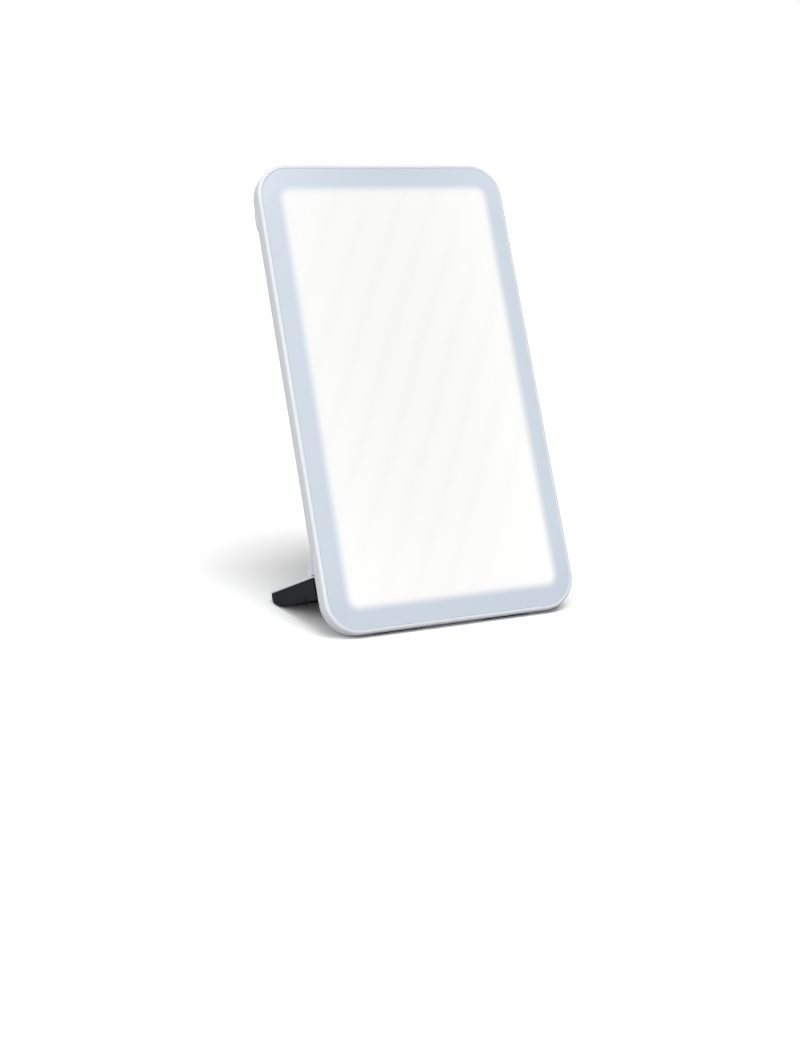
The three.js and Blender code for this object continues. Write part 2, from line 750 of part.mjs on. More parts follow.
function stripLead(plugX, side) {
  const start = boardBottom + plugMargin - plugDepth / 2 - fitGap;
  return lead([
    [plugX, leadDepth, start],
    [plugX, leadDepth, start - leadDrop],
    [side * leadX, leadDepth, leadTurnHeight],
    [side * leadX, leadDepth, bossEndMargin],
    [side * leadX, (leadDepth + plateBack) / 2, cornerHeight],
    [side * leadX, plateFront, cornerHeight - leadRadius],
    [side * leadX, leadFront, cornerHeight + leadRadius * 2],
    [side * leadX, leadFront, stripBottom - fitGap],
  ]);
}

place(panel, 'strip_lead_left', stripLead(leftPlugX, -1), leadJacket);
place(panel, 'strip_lead_right', stripLead(rightPlugX, 1), leadJacket);

// Power switch: a side-push switch on its own small board, worked by the button
function switchBody() {
  const depth = [buttonCentreDepth - switchDepth / 2, buttonCentreDepth + switchDepth / 2];
  const height = [buttonCentreHeight - switchHeight / 2, buttonCentreHeight + switchHeight / 2];
  return shaped(block([switchFace, switchFace + switchWidth], depth, height), {
    cut: [rodAlongX(buttonCentreDepth, buttonCentreHeight, plungerRadius + fitGap,
      [switchFace - overrun, switchFace + plungerHoleDepth], smallSides)],
  });
}

const switchBoardSpan = [switchFace, switchFace + switchBoardWidth];
place(panel, 'switch_board', block(switchBoardSpan,
  [switchBoardFront, switchBoardFront + switchBoardThickness],
  [switchBoardBottom, switchBoardBottom + switchBoardHeight]), greenBoard);
place(panel, 'switch_body', switchBody(), blackPart);

const switchLeadX = switchFace + switchBoardWidth - leadRadius * 2;
const switchLeadStart = switchPlugX - plugWidth / 2 - fitGap;
const switchLeadHeight = boardTop - switchPlugDrop;
const switchLeadDepth = switchBoardFront + switchBoardThickness / 2;
place(panel, 'switch_lead', lead([
  [switchLeadStart, leadDepth, switchLeadHeight],
  [switchLeadStart - switchLeadRun, leadDepth, switchLeadHeight],
  [switchLeadX, leadDepth, switchLeadHeight + switchLeadRise],
  [switchLeadX, switchLeadDepth, switchBoardBottom - switchLeadRun],
  [switchLeadX, switchLeadDepth, switchBoardBottom - fitGap],
]), leadJacket);

function powerButton() {
  const crowned = new THREE.ExtrudeGeometry(buttonOutline(0), {
    depth: buttonCapDepth - buttonCrown,
    bevelThickness: buttonCrown,
    bevelSize: buttonCrown,
    bevelOffset: -buttonCrown,
    bevelSegments: 2,
    curveSegments: edgeSteps,
  });
  const turn = new THREE.Matrix4().makeBasis(
    new THREE.Vector3(0, 1, 0), new THREE.Vector3(0, 0, 1), new THREE.Vector3(1, 0, 0));
  const cap = crowned.applyMatrix4(turn).translate(buttonFace + buttonCrown, 0, 0);
  const flange = block([flangeFace, stemFace],
    [buttonCentreDepth - buttonFlangeWidth / 2, buttonCentreDepth + buttonFlangeWidth / 2],
    [buttonCentreHeight - buttonFlangeLength / 2, buttonCentreHeight + buttonFlangeLength / 2]);
  const stem = rodAlongX(buttonCentreDepth, buttonCentreHeight, buttonStemRadius,
    [flangeFace, stemFace + buttonStemLength], smallSides);
  const tail = block([flangeFace, flangeFace + overrun * 2], [0, caseDepth], [0, caseHeight]);
  return toGeometry(toSolid(cap).subtract(toSolid(tail)).add(toSolid(flange)).add(toSolid(stem)));
}

place(button, 'power_button', powerButton(), whiteShell);
place(button, 'switch_plunger', rodAlongX(buttonCentreDepth, buttonCentreHeight, plungerRadius,
  [plungerFace, plungerFace + plungerLength], smallSides), blackPart);

// Foot: sections across the foot at chosen depths, narrowing round its two rear corners
const footStations = [
  [footRoot, footHalfWidth],
  [kneeDepth, footHalfWidth],
  ...Array.from({ length: noseSteps + 1 }, (_, step) => {
    const angle = step / noseSteps * Math.PI / 2;
    return [
      noseDepth - footCornerRadius * (1 - Math.sin(angle)),
      footHalfWidth - footCornerRadius * (1 - Math.cos(angle)),
    ];
  }),
];

function footSection([depth, width], low, high, lowRadius, highRadius) {
  const corners = [[1, high, highRadius], [-1, high, highRadius], [-1, low, lowRadius], [1, low, lowRadius]];
  return corners.flatMap(([side, height, radius], quarter) => (
    Array.from({ length: edgeSteps + 1 }, (_, step) => {
      const angle = (quarter + step / edgeSteps) * Math.PI / 2;
      const centre = height === high ? height - radius : height + radius;
      return new THREE.Vector3(side * (width - radius) + radius * Math.cos(angle), depth,
        centre + radius * Math.sin(angle));
    })));
}

function soleBody() {
  return skin(footStations.map((station) => {
    const [depth] = station;
    const height = soleTop(depth) - footBottom(depth);
    const lowRadius = Math.min(soleEdgeRadius, height / 2);
    const highRadius = Math.min(topEdgeRadius, height / 4);
    return footSection(station, footBottom(depth), soleTop(depth), lowRadius, highRadius);
  }), false);
}

const footScrewPlaces = [-1, 1].flatMap((side) => (
  footScrewDepths.map((depth) => [side * footScrewX, depth])));
const footBossEnd = (depth) => soleTop(depth) - footBossLength;

function footSole() {
  const inside = footHalfWidth - soleWall;
  const cavity = skin([cavityFront, kneeDepth, cavityBack].map((depth) => [
    new THREE.Vector3(inside, depth, footBottom(depth) + soleWall),
    new THREE.Vector3(inside, depth, footRootTop + footTopRise + overrun),
    new THREE.Vector3(-inside, depth, footRootTop + footTopRise + overrun),
    new THREE.Vector3(-inside, depth, footBottom(depth) + soleWall),
  ]), false);
  const groove = new THREE.Shape();
  groove.moveTo(grooveBack, footBottom(grooveBack) - overrun);
  groove.lineTo(grooveBack, footBottom(grooveBack));
  groove.lineTo(grooveTip, footBottom(grooveTip) + grooveDepth);
  groove.lineTo(grooveFront, footBottom(grooveFront));
  groove.lineTo(grooveFront, footBottom(grooveFront) - overrun);
  groove.closePath();
  const posts = footScrewPlaces.map(([x, depth]) => (
    rodAlongZ(x, depth, postRadius, [footBottom(depth) + soleWall / 2, footBossEnd(depth) - fitGap])));
  const hollow = toSolid(soleBody()).subtract(toSolid(cavity));
  const posted = posts.reduce((solid, post) => solid.add(toSolid(post)), hollow);
  return shaped(toGeometry(posted), {
    cut: [
      across(groove, [-footHalfWidth - overrun, footHalfWidth + overrun]),
      ...footScrewPlaces.map(([x, depth]) => (
        rodAlongZ(x, depth, screwHoleRadius, [footBottom(depth) - overrun, footRootTop], smallSides))),
      ...footScrewPlaces.map(([x, depth]) => (
        rodAlongZ(x, depth, screwHeadRadius + fitGap,
          [footBottom(depth) - overrun, footBottom(depth) + screwHeadSink]))),
      footPadBlock(fitGap),
    ],
  });
}

const kneeReach = kneeDepth * leanCos + kneeHeight * leanSin;

function footPadBlock(gap) {
  const start = kneeReach + footPadSetback;
  return floorBlock([-footPadHalfLength - gap, footPadHalfLength + gap],
    [start - gap, start + footPadWidth + gap], [floorHeight - gap, floorHeight + padThickness + gap]);
}

function neck() {
  const foundation = footTop(axisDepth) - topThickness / 2;
  const heel = axisDepth + neckReach;
  const shape = new THREE.Shape();
  shape.moveTo(axisDepth - knuckleRadius, foundation);
  shape.lineTo(heel, foundation);
  shape.absarc(axisDepth, axisHeight, knuckleRadius, tangentAngle(heel, foundation, 1), Math.PI, false);
  shape.closePath();
  return shape;
}

function footTopShell() {
  const sections = footStations.map((station) => {
    const top = footTop(station[0]);
    return footSection(station, top - topThickness, top, topEdgeRadius / 2, topEdgeRadius);
  });
  const plate = skin(sections, false);
  const knuckles = sides.flatMap(([, side]) => {
    const span = [side * footKnuckleStart, side * footKnuckleEnd].sort((a, b) => a - b);
    return [rodAlongX(axisDepth, axisHeight, knuckleRadius, span), across(neck(), span, roundSides)];
  });
  const bosses = footScrewPlaces.map(([x, depth]) => (
    rodAlongZ(x, depth, bossRadius, [footBossEnd(depth), footTop(depth) - topThickness / 2])));
  const bores = sides.flatMap(([, side]) => {
    const whole = [side * (footKnuckleStart - overrun), side * (footKnuckleEnd + overrun)];
    const wide = [side * (footKnuckleStart - overrun),
      side * (footKnuckleStart + sleeveSetback + sleeveLength + fitGap)];
    return [
      rodAlongX(axisDepth, axisHeight, pinHoleRadius, whole.sort((a, b) => a - b)),
      rodAlongX(axisDepth, axisHeight, pinHoleRadius + sleeveWall + fitGap, wide.sort((a, b) => a - b)),
    ];
  });
  const pilots = footScrewPlaces.map(([x, depth]) => (
    rodAlongZ(x, depth, screwHoleRadius,
      [footBossEnd(depth) - overrun, footTop(depth) - topThickness], smallSides)));
  return shaped(plate, { add: [...knuckles, ...bosses], cut: [...bores, ...pilots] });
}

place(foot, 'foot_top', footTopShell(), whiteShell);
place(foot, 'foot_sole', footSole(), charcoalShell);
place(foot, 'foot_pad', footPadBlock(0), padRubber);

const footScrew = screw(footScrewLength).rotateX(-Math.PI / 2);
footScrewPlaces.forEach(([x, depth], i) => {
  place(foot, `foot_screw_${i + 1}`, footScrew, steel,
    [x, depth, footScrewSeat(depth)]);
});

// Hinge: a steel pin through each pair of knuckles, gripped by a slit spring sleeve in the foot
function frictionSleeve([x0, x1]) {
  return shaped(rodAlongX(axisDepth, axisHeight, pinHoleRadius + sleeveWall, [x0, x1]), {
    cut: [
      rodAlongX(axisDepth, axisHeight, pinHoleRadius, [x0 - overrun, x1 + overrun]),
      block([x0 - overrun, x1 + overrun], [axisDepth - sleeveSlit / 2, axisDepth + sleeveSlit / 2],
        [axisHeight - knuckleRadius, axisHeight]),
    ],
  });
}

for (const [name, side] of sides) {
  const pinSpan = [side * (footKnuckleStart + fitGap), side * pinEnd].sort((a, b) => a - b);
  place(panel, `hinge_pin_${name}`, rodAlongX(axisDepth, axisHeight, pinRadius, pinSpan), steel);
  const sleeveStart = footKnuckleStart + sleeveSetback;
  const sleeveSpan = [side * sleeveStart, side * (sleeveStart + sleeveLength)].sort((a, b) => a - b);
  place(foot, `friction_sleeve_${name}`, frictionSleeve(sleeveSpan), steel);
}

// Set the lamp down: the pads on the floor, the middle of its footprint at the origin
lamp.updateMatrixWorld(true);
const extent = new THREE.Box3().setFromObject(lamp, true);
const middle = extent.getCenter(new THREE.Vector3());
lamp.position.set(-middle.x, -middle.y, -extent.min.z);
lamp.updateMatrixWorld(true);

export default lamp;
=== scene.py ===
"""Light therapy lamp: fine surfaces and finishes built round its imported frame.

Shapes are made in millimetres in the panel's own upright frame, where x runs to the right, y runs
back from the front face and z runs up from the bottom edge. Each finished piece is then leaned back
and set down in the lamp's frame, in metres.
"""

from __future__ import annotations

import json
import logging
import math
from collections.abc import Callable, Iterable, Sequence
from dataclasses import dataclass, field
from enum import Enum

import bmesh
import bpy
from bmesh.types import BMEdge, BMesh, BMFace, BMVert
from bpy.types import Material, Node, NodeSocket, NodeTree, Object
from mathutils import Matrix, Vector

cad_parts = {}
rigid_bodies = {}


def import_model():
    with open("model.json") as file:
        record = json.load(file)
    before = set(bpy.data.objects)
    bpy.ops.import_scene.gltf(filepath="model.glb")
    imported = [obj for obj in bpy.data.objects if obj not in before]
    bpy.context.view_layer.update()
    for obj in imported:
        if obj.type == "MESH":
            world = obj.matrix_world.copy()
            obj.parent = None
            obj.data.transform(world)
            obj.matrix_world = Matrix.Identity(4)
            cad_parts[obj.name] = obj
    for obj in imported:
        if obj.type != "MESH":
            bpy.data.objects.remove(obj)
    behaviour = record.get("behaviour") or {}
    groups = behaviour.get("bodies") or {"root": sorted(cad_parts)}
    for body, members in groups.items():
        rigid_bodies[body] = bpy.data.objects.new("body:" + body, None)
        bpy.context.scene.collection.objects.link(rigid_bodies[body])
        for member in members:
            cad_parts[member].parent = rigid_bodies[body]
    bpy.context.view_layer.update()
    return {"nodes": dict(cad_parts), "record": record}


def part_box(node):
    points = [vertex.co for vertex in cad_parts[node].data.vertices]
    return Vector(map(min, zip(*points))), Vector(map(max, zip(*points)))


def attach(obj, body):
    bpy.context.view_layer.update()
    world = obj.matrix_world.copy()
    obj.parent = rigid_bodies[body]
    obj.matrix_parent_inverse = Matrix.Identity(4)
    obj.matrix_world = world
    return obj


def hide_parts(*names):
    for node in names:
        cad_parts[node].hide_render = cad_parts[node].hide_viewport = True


LOG = logging.getLogger("light_therapy_lamp")

MM = 0.001
TINY = 0.01
WELD = TINY / 10
OVERRUN = 1.0
ROUND_STEPS = 48
CORNER_STEPS = 24
EDGE_STEPS = 8
SMALL_STEPS = 4
LEAST_STEPS = 3
SMOOTH_ANGLE = math.radians(28)
IMAGE_LONG_SIDE = 1052
SENSOR = 36.0
UPRIGHT = Matrix.Rotation(math.pi / 2, 4, "X")
HEAD_DOWN = Matrix.Rotation(-math.pi / 2, 4, "X")
ALONG_X = Matrix.Rotation(-math.pi / 2, 4, "Z")
BLACK = (0.0, 0.0, 0.0, 1.0)
WHITE = (1.0, 1.0, 1.0, 1.0)


class Body(Enum):
    """The moving bodies of the frame."""

    CASE = "case"
    FOOT = "foot"
    BUTTON = "power_button"


class Side(Enum):
    """The left and right halves of the lamp, as seen from the front."""

    LEFT = -1
    RIGHT = 1

    @property
    def word(self) -> str:
        """The side's name as the frame's nodes spell it."""
        return self.name.lower()


class Join(Enum):
    """How one closed shape is worked into another."""

    ADD = "UNION"
    CUT = "DIFFERENCE"


class Pattern(Enum):
    """Coordinates that a finish can be drawn in."""

    LAMP = "lamp"
    PANEL = "panel"


# Shapes from bmesh operators


def extruded(mold: BMesh, faces: Iterable[BMFace], offset: Vector) -> list[BMFace]:
    """Extrudes faces and moves the new ones.

    Args:
        mold: The mesh to work on.
        faces: The faces to extrude.
        offset: How far the new faces go.

    Returns:
        The moved faces.
    """
    made = bmesh.ops.extrude_face_region(mold, geom=list(faces))["geom"]
    bmesh.ops.translate(mold, vec=offset, verts=[part for part in made if isinstance(part, BMVert)])
    return [part for part in made if isinstance(part, BMFace)]


def moved(mold: BMesh, matrix: Matrix) -> BMesh:
    """Takes a whole mesh somewhere else.

    Args:
        mold: The mesh to move.
        matrix: The way to its new place.

    Returns:
        The same mesh.
    """
    bmesh.ops.transform(mold, matrix=matrix, verts=mold.verts[:])
    return mold


def edges_where(mold: BMesh, test: Callable[[Vector], bool]) -> list[BMEdge]:
    """The edges that have both ends where a test holds.

    Args:
        mold: The mesh to search.
        test: Takes a vertex's place and says whether it counts.

    Returns:
        The edges found.
    """
    return [edge for edge in mold.edges if all(test(vertex.co) for vertex in edge.verts)]


def rounded(mold: BMesh, edges: Sequence[BMEdge], radius: float, steps: int = EDGE_STEPS) -> BMesh:
    """Rounds edges over to a circular section.

    Args:
        mold: The mesh to work on.
        edges: The edges to round.
        radius: The fillet's radius.
        steps: How many facets it has.

    Returns:
        The same mesh.
    """
    bmesh.ops.bevel(
        mold, geom=list(edges), offset=radius, segments=steps, profile=0.5, affect="EDGES", material=-1,
        clamp_overlap=True,
    )
    return mold


def rounded_where(
    mold: BMesh, test: Callable[[Vector], bool], radius: float, steps: int = EDGE_STEPS
) -> BMesh:
    """Rounds the edges that have both ends where a test holds.

    Args:
        mold: The mesh to work on.
        test: Takes a vertex's place and says whether it counts.
        radius: The fillet's radius.
        steps: How many facets it has.

    Returns:
        The same mesh.
    """
    return rounded(mold, edges_where(mold, test), radius, steps)


def eased(mold: BMesh, corners: Sequence[BMVert], radius: float, steps: int) -> None:
    """Rounds corners of a flat face.

    Args:
        mold: The mesh to work on.
        corners: The corners to round.
        radius: Their radius.
        steps: How many facets each has.
    """
    bmesh.ops.bevel(
        mold, geom=list(corners), offset=radius, segments=steps, profile=0.5, affect="VERTICES", material=-1,
    )


def cleaned(mold: BMesh) -> BMesh:
    """Merges a mesh's doubles and takes out its edges and faces of no size.

    Args:
        mold: The mesh to work on.

    Returns:
        The same mesh.
    """
    bmesh.ops.remove_doubles(mold, verts=mold.verts[:], dist=WELD)
    bmesh.ops.dissolve_degenerate(mold, edges=mold.edges[:], dist=WELD)
    return mold


def closed(mold: BMesh) -> BMesh:
    """Merges a mesh's doubles and turns its faces outwards.

    Args:
        mold: The mesh to work on.

    Returns:
        The same mesh.
    """
    bmesh.ops.remove_doubles(mold, verts=mold.verts[:], dist=WELD)
    bmesh.ops.recalc_face_normals(mold, faces=mold.faces[:])
    return mold


def flat_face(width: float, height: float) -> BMesh:
    """A rectangle in the xy plane, about the origin.

    Args:
        width: Its size along x.
        height: Its size along y.

    Returns:
        A mesh of one face.
    """
    mold = bmesh.new()
    bmesh.ops.create_grid(mold, x_segments=1, y_segments=1, size=0.5)
    bmesh.ops.scale(mold, vec=(width, height, 1), verts=mold.verts[:])
    return mold


def round_plate(width: float, height: float, corner: float, low: float) -> BMesh:
    """A rounded rectangle that faces the front.

    Args:
        width: Its size along x.
        height: Its size along z.
        corner: The radius of its corners.
        low: The height of its lower edge.

    Returns:
        A mesh of one face at y = 0.
    """
    mold = flat_face(width, height)
    eased(mold, mold.verts, corner, CORNER_STEPS)
    return moved(mold, Matrix.Translation((0, 0, low + height / 2)) @ UPRIGHT)


def slab(width: float, height: float, corner: float, low: float, depths: tuple[float, float]) -> BMesh:
    """A rounded rectangle with thickness.

    Args:
        width: Its size along x.
        height: Its size along z.
        corner: The radius of its corners.
        low: The height of its lower edge.
        depths: Its front and back, along y.

    Returns:
        A closed mesh.
    """
    mold = round_plate(width, height, corner, low)
    bmesh.ops.translate(mold, vec=(0, depths[0], 0), verts=mold.verts[:])
    extruded(mold, mold.faces[:], Vector((0, depths[1] - depths[0], 0)))
    return closed(mold)


def block(x: tuple[float, float], y: tuple[float, float], z: tuple[float, float]) -> BMesh:
    """A box between two limits on each axis.

    Args:
        x: Its left and right.
        y: Its front and back.
        z: Its bottom and top.

    Returns:
        A closed mesh.
    """
    mold = bmesh.new()
    bmesh.ops.create_cube(mold, size=1)
    bmesh.ops.scale(mold, vec=(x[1] - x[0], y[1] - y[0], z[1] - z[0]), verts=mold.verts[:])
    bmesh.ops.translate(
        mold, vec=((x[0] + x[1]) / 2, (y[0] + y[1]) / 2, (z[0] + z[1]) / 2), verts=mold.verts[:]
    )
    return mold


def turned(profile: Sequence[tuple[float, float]], place: Matrix) -> BMesh:
    """A turned piece: a profile spun about the y axis and then put in its place.

    Args:
        profile: Points of radius and distance along the axis, from one end of the axis to the other.
        place: Where the axis goes.

    Returns:
        A closed mesh.
    """
    mold = bmesh.new()
    chain = [mold.verts.new((radius, along, 0)) for radius, along in profile]
    edges = [mold.edges.new(pair) for pair in zip(chain, chain[1:])]
    bmesh.ops.spin(
        mold, geom=[*chain, *edges], cent=(0, 0, 0), axis=(0, 1, 0), dvec=(0, 0, 0), angle=math.tau,
        steps=ROUND_STEPS, use_merge=True,
    )
    return closed(moved(cleaned(mold), place))


def worked(base: BMesh, tools: Iterable[BMesh], join: Join) -> BMesh:
    """Adds closed shapes to a closed shape, or cuts them out of it.

    Args:
        base: The shape to work on, which is used up.
        tools: The shapes to work in, which are used up.
        join: Whether they are added or cut.

    Returns:
        A new closed mesh.
    """
    for tool in tools:
        blank, helper = as_object(base, "blank"), as_object(tool, "tool")
        step = blank.modifiers.new("join", "BOOLEAN")
        step.operation = join.value
        step.solver = "EXACT"
        step.object = helper
        bpy.context.view_layer.update()
        result = bpy.data.meshes.new_from_object(blank.evaluated_get(bpy.context.evaluated_depsgraph_get()))
        base = bmesh.new()
        base.from_mesh(result)
        bpy.data.batch_remove([result, blank.data, helper.data, blank, helper])
        cleaned(base)
    return base


def as_object(mold: BMesh, name: str) -> Object:
    """A linked object that holds a mesh.

    Args:
        mold: The mesh, which is used up.
        name: The object's name.

    Returns:
        The object.
    """
    mesh = bpy.data.meshes.new(name)
    mold.to_mesh(mesh)
    mold.free()
    item = bpy.data.objects.new(name, mesh)
    bpy.context.scene.collection.objects.link(item)
    return item


class Outline:
    """A closed outline in the side plane, drawn by lines and by turning a point about a centre."""

    def __init__(self, depth: float, height: float) -> None:
        """Puts the pen down.

        Args:
            depth: Where the outline starts along y.
            height: Where it starts along z.
        """
        self.mold = bmesh.new()
        self.start = self.mold.verts.new((0, depth, height))
        self.pen = self.start

    def line(self, *points: tuple[float, float]) -> Outline:
        """Draws straight lines.

        Args:
            points: The next corners, as depth and height.

        Returns:
            This outline.
        """
        for depth, height in points:
            corner = self.mold.verts.new((0, depth, height))
            self.mold.edges.new((self.pen, corner))
            self.pen = corner
        return self

    def arc(self, depth: float, height: float, angle: float) -> Outline:
        """Turns the pen about a centre.

        Args:
            depth: The centre along y.
            height: The centre along z.
            angle: How far it turns, from y towards z.

        Returns:
            This outline.
        """
        made = bmesh.ops.spin(
            self.mold, geom=[self.pen], cent=(0, depth, height), axis=(1, 0, 0), dvec=(0, 0, 0),
            angle=angle, steps=CORNER_STEPS,
        )
        self.pen = next(part for part in made["geom_last"] if isinstance(part, BMVert))
        return self

    def across(self, span: tuple[float, float]) -> BMesh:
        """Closes the outline and carries it across the lamp.

        Args:
            span: Its left and right ends.

        Returns:
            A closed mesh.
        """
        self.mold.edges.new((self.pen, self.start))
        bmesh.ops.contextual_create(self.mold, geom=self.mold.edges[:])
        bmesh.ops.translate(self.mold, vec=(span[0], 0, 0), verts=self.mold.verts[:])
        extruded(self.mold, self.mold.faces[:], Vector((span[1] - span[0], 0, 0)))
        return closed(self.mold)


# Shader maths


def maths(operation: str, flipped: bool = False) -> Callable[..., Value]:
    """A method that feeds a value and any other term to a Math node.

    Args:
        operation: What the node works out.
        flipped: Whether the other term goes first.

    Returns:
        The method.
    """

    def method(value: Value, *others: Value | float) -> Value:
        """The result of the node.

        Args:
            value: The value that the method belongs to.
            others: The other term, where there is one.

        Returns:
            The result.
        """
        terms = (*others, value) if flipped else (value, *others)
        return value.recipe.out("ShaderNodeMath", {"operation": operation}, dict(enumerate(terms)))

    return method


class Value:
    """A shader socket that takes part in Python sums."""

    def __init__(self, recipe: Recipe, socket: NodeSocket) -> None:
        """Wraps a socket.

        Args:
            recipe: The recipe that its node is in.
            socket: The output to wrap.
        """
        self.recipe = recipe
        self.socket = socket

    __add__ = maths("ADD")
    __radd__ = maths("ADD", flipped=True)
    __sub__ = maths("SUBTRACT")
    __rsub__ = maths("SUBTRACT", flipped=True)
    __mul__ = maths("MULTIPLY")
    __rmul__ = maths("MULTIPLY", flipped=True)
    __truediv__ = maths("DIVIDE")
    __abs__ = maths("ABSOLUTE")
    least = maths("MINIMUM")
    most = maths("MAXIMUM")
    root = maths("SQRT")
    sine = maths("SINE")

    def squared(self) -> Value:
        """The value times itself."""
        return self * self

    def step(self, low: float, high: float) -> Value:
        """A smooth rise from 0 to 1.

        Args:
            low: Where the rise starts.
            high: Where it ends.

        Returns:
            The share of the way from one to the other, eased at both ends.
        """
        return self.recipe.out("ShaderNodeMapRange", {"interpolation_type": "SMOOTHSTEP"}, {
            "Value": self, "From Min": low, "From Max": high,
        })


Term = Value | float | Sequence[float]


class Recipe:
    """A node tree in the making."""

    def __init__(self, tree: NodeTree) -> None:
        """Opens a tree.

        Args:
            tree: The tree of a material or of the sky.
        """
        self.tree = tree

    def node(self, kind: str, settings: dict[str, object] | None = None,
             inputs: dict[int | str, Term] | None = None) -> Node:
        """Adds a node.

        Args:
            kind: The node's type.
            settings: Its own settings, such as a Math node's operation, which are set first.
            inputs: Values or links for its sockets, by number or name.

        Returns:
            The node.
        """
        made = self.tree.nodes.new(kind)
        for key, setting in (settings or {}).items():
            setattr(made, key, setting)
        for key, term in (inputs or {}).items():
            self.feed(made, key, term)
        return made

    def out(self, kind: str, settings: dict[str, object] | None = None,
            inputs: dict[int | str, Term] | None = None, output: int | str = 0) -> Value:
        """Adds a node and wraps one of its outputs.

        Args:
            kind: The node's type.
            settings: Its own settings.
            inputs: Values or links for its sockets.
            output: The output wanted, by number or name.

        Returns:
            The wrapped output.
        """
        return Value(self, self.node(kind, settings, inputs).outputs[output])

    def feed(self, node: Node, key: int | str, term: Term) -> None:
        """Sets or links one input of a node.

        Args:
            node: The node.
            key: The input's number or name.
            term: A value, or a wrapped socket to link.
        """
        if isinstance(term, Value):
            self.tree.links.new(term.socket, node.inputs[key])
        else:
            node.inputs[key].default_value = term

    def seen(self) -> Value:
        """1 for rays from the camera, off gloss or through glass, and 0 for rays that light things.

        Returns:
            The mask.
        """
        path = self.node("ShaderNodeLightPath")
        camera, glossy, through = (
            Value(self, path.outputs[name])
            for name in ("Is Camera Ray", "Is Glossy Ray", "Is Transmission Ray")
        )
        return camera.most(glossy).most(through)

    def noise(self, place: Value, size: float, detail: float = 2.0, seed: float = 0.0) -> Value:
        """Soft noise from 0 to 1.

        Args:
            place: Where it is drawn, in millimetres.
            size: The size of its features, in millimetres.
            detail: How many finer layers it has.
            seed: Shifts it, so that two noises differ.

        Returns:
            The noise.
        """
        return self.out("ShaderNodeTexNoise", {"noise_dimensions": "4D"}, {
            "Vector": place, "W": seed, "Scale": 1 / size, "Detail": detail,
        })

    def blend(self, share: Value, first: Term, second: Term) -> Value:
        """A colour between two others.

        Args:
            share: How much of the second there is.
            first: The colour at 0.
            second: The colour at 1.

        Returns:
            The blend.
        """
        return self.out("ShaderNodeMix", {"data_type": "RGBA"}, {
            "Factor": share, "A": first, "B": second,
        }, "Result")

    def bump(self, height: Value, depth: float) -> Value:
        """A normal from a height.

        Args:
            height: The relief, from 0 to 1.
            depth: How deep it is, in millimetres.

        Returns:
            The normal.
        """
        return self.out("ShaderNodeBump", None, {
            "Height": height, "Distance": depth * MM, "Strength": 1.0,
        })


class Finish(Recipe):
    """A material in the making, opened at its Principled shader."""

    def __init__(self, name: str, stance: Stance) -> None:
        """Starts a material.

        Args:
            name: The material's name.
            stance: How the panel stands, for patterns drawn in its frame.
        """
        self.material = bpy.data.materials.new(name)
        self.material.use_nodes = True
        super().__init__(self.material.node_tree)
        self.stance = stance

    def place(self, pattern: Pattern) -> Value:
        """Coordinates for a pattern, in millimetres.

        Args:
            pattern: The lamp's frame, or the panel's own.

        Returns:
            The vector.
        """
        turn, shift = 0.0, Vector((0, 0, 0))
        if pattern is Pattern.PANEL:
            turn, shift = self.stance.lean, self.stance.matrix.inverted().translation
        return self.out("ShaderNodeMapping", {"vector_type": "POINT"}, {
            "Vector": self.out("ShaderNodeTexCoord", output="Object"),
            "Scale": (1 / MM,) * 3, "Rotation": (turn, 0, 0), "Location": shift,
        })

    def finished(self, sockets: dict[str, Term]) -> Material:
        """Sets the surface's sockets.

        Args:
            sockets: Values or links, by socket name.

        Returns:
            The material.
        """
        for key, term in sockets.items():
            self.feed(self.tree.nodes["Principled BSDF"], key, term)
        return self.material


def rgba(colour: Sequence[float]) -> tuple[float, float, float, float]:
    """A colour with its alpha.

    Args:
        colour: Its red, green and blue.

    Returns:
        The colour, fully opaque.
    """
    return (colour[0], colour[1], colour[2], 1.0)


# Finishes


@dataclass(frozen=True)
class Moulded:
    """Moulded plastic or rubber: a fine spark-eroded grain with a slow drift of colour."""

    name: str
    colour: tuple[float, float, float]
    roughness: float
    grain_size: float = 0.35
    grain_depth: float = 0.02
    speck_ratio: float = 3.0
    drift: float = 0.03
    drift_size: float = 45.0
    main_share: float = 0.7
    roughness_drift: float = 0.06
    specular: float = 0.5

    def material(self, stance: Stance) -> Material:
        """Makes the finish.

        Args:
            stance: How the panel stands.

        Returns:
            The material.
        """
        recipe = Finish(self.name, stance)
        place = recipe.place(Pattern.LAMP)
        slow = recipe.noise(place, self.drift_size, detail=3.0)
        grain = recipe.noise(place, self.grain_size, detail=3.0, seed=2.0)
        speck = recipe.noise(place, self.grain_size * self.speck_ratio, seed=5.0)
        speck_share = 1 - self.main_share
        dark = [part * (1 - self.drift) for part in self.colour]
        light = [min(1.0, part * (1 + self.drift / 2)) for part in self.colour]
        return recipe.finished({
            "Base Color": recipe.blend(
                slow * self.main_share + speck * speck_share, rgba(dark), rgba(light)
            ),
            "Roughness": self.roughness + (speck - 0.5) * self.roughness_drift,
            "Specular IOR Level": self.specular,
            "Normal": recipe.bump(grain * self.main_share + speck * speck_share, self.grain_depth),
        })


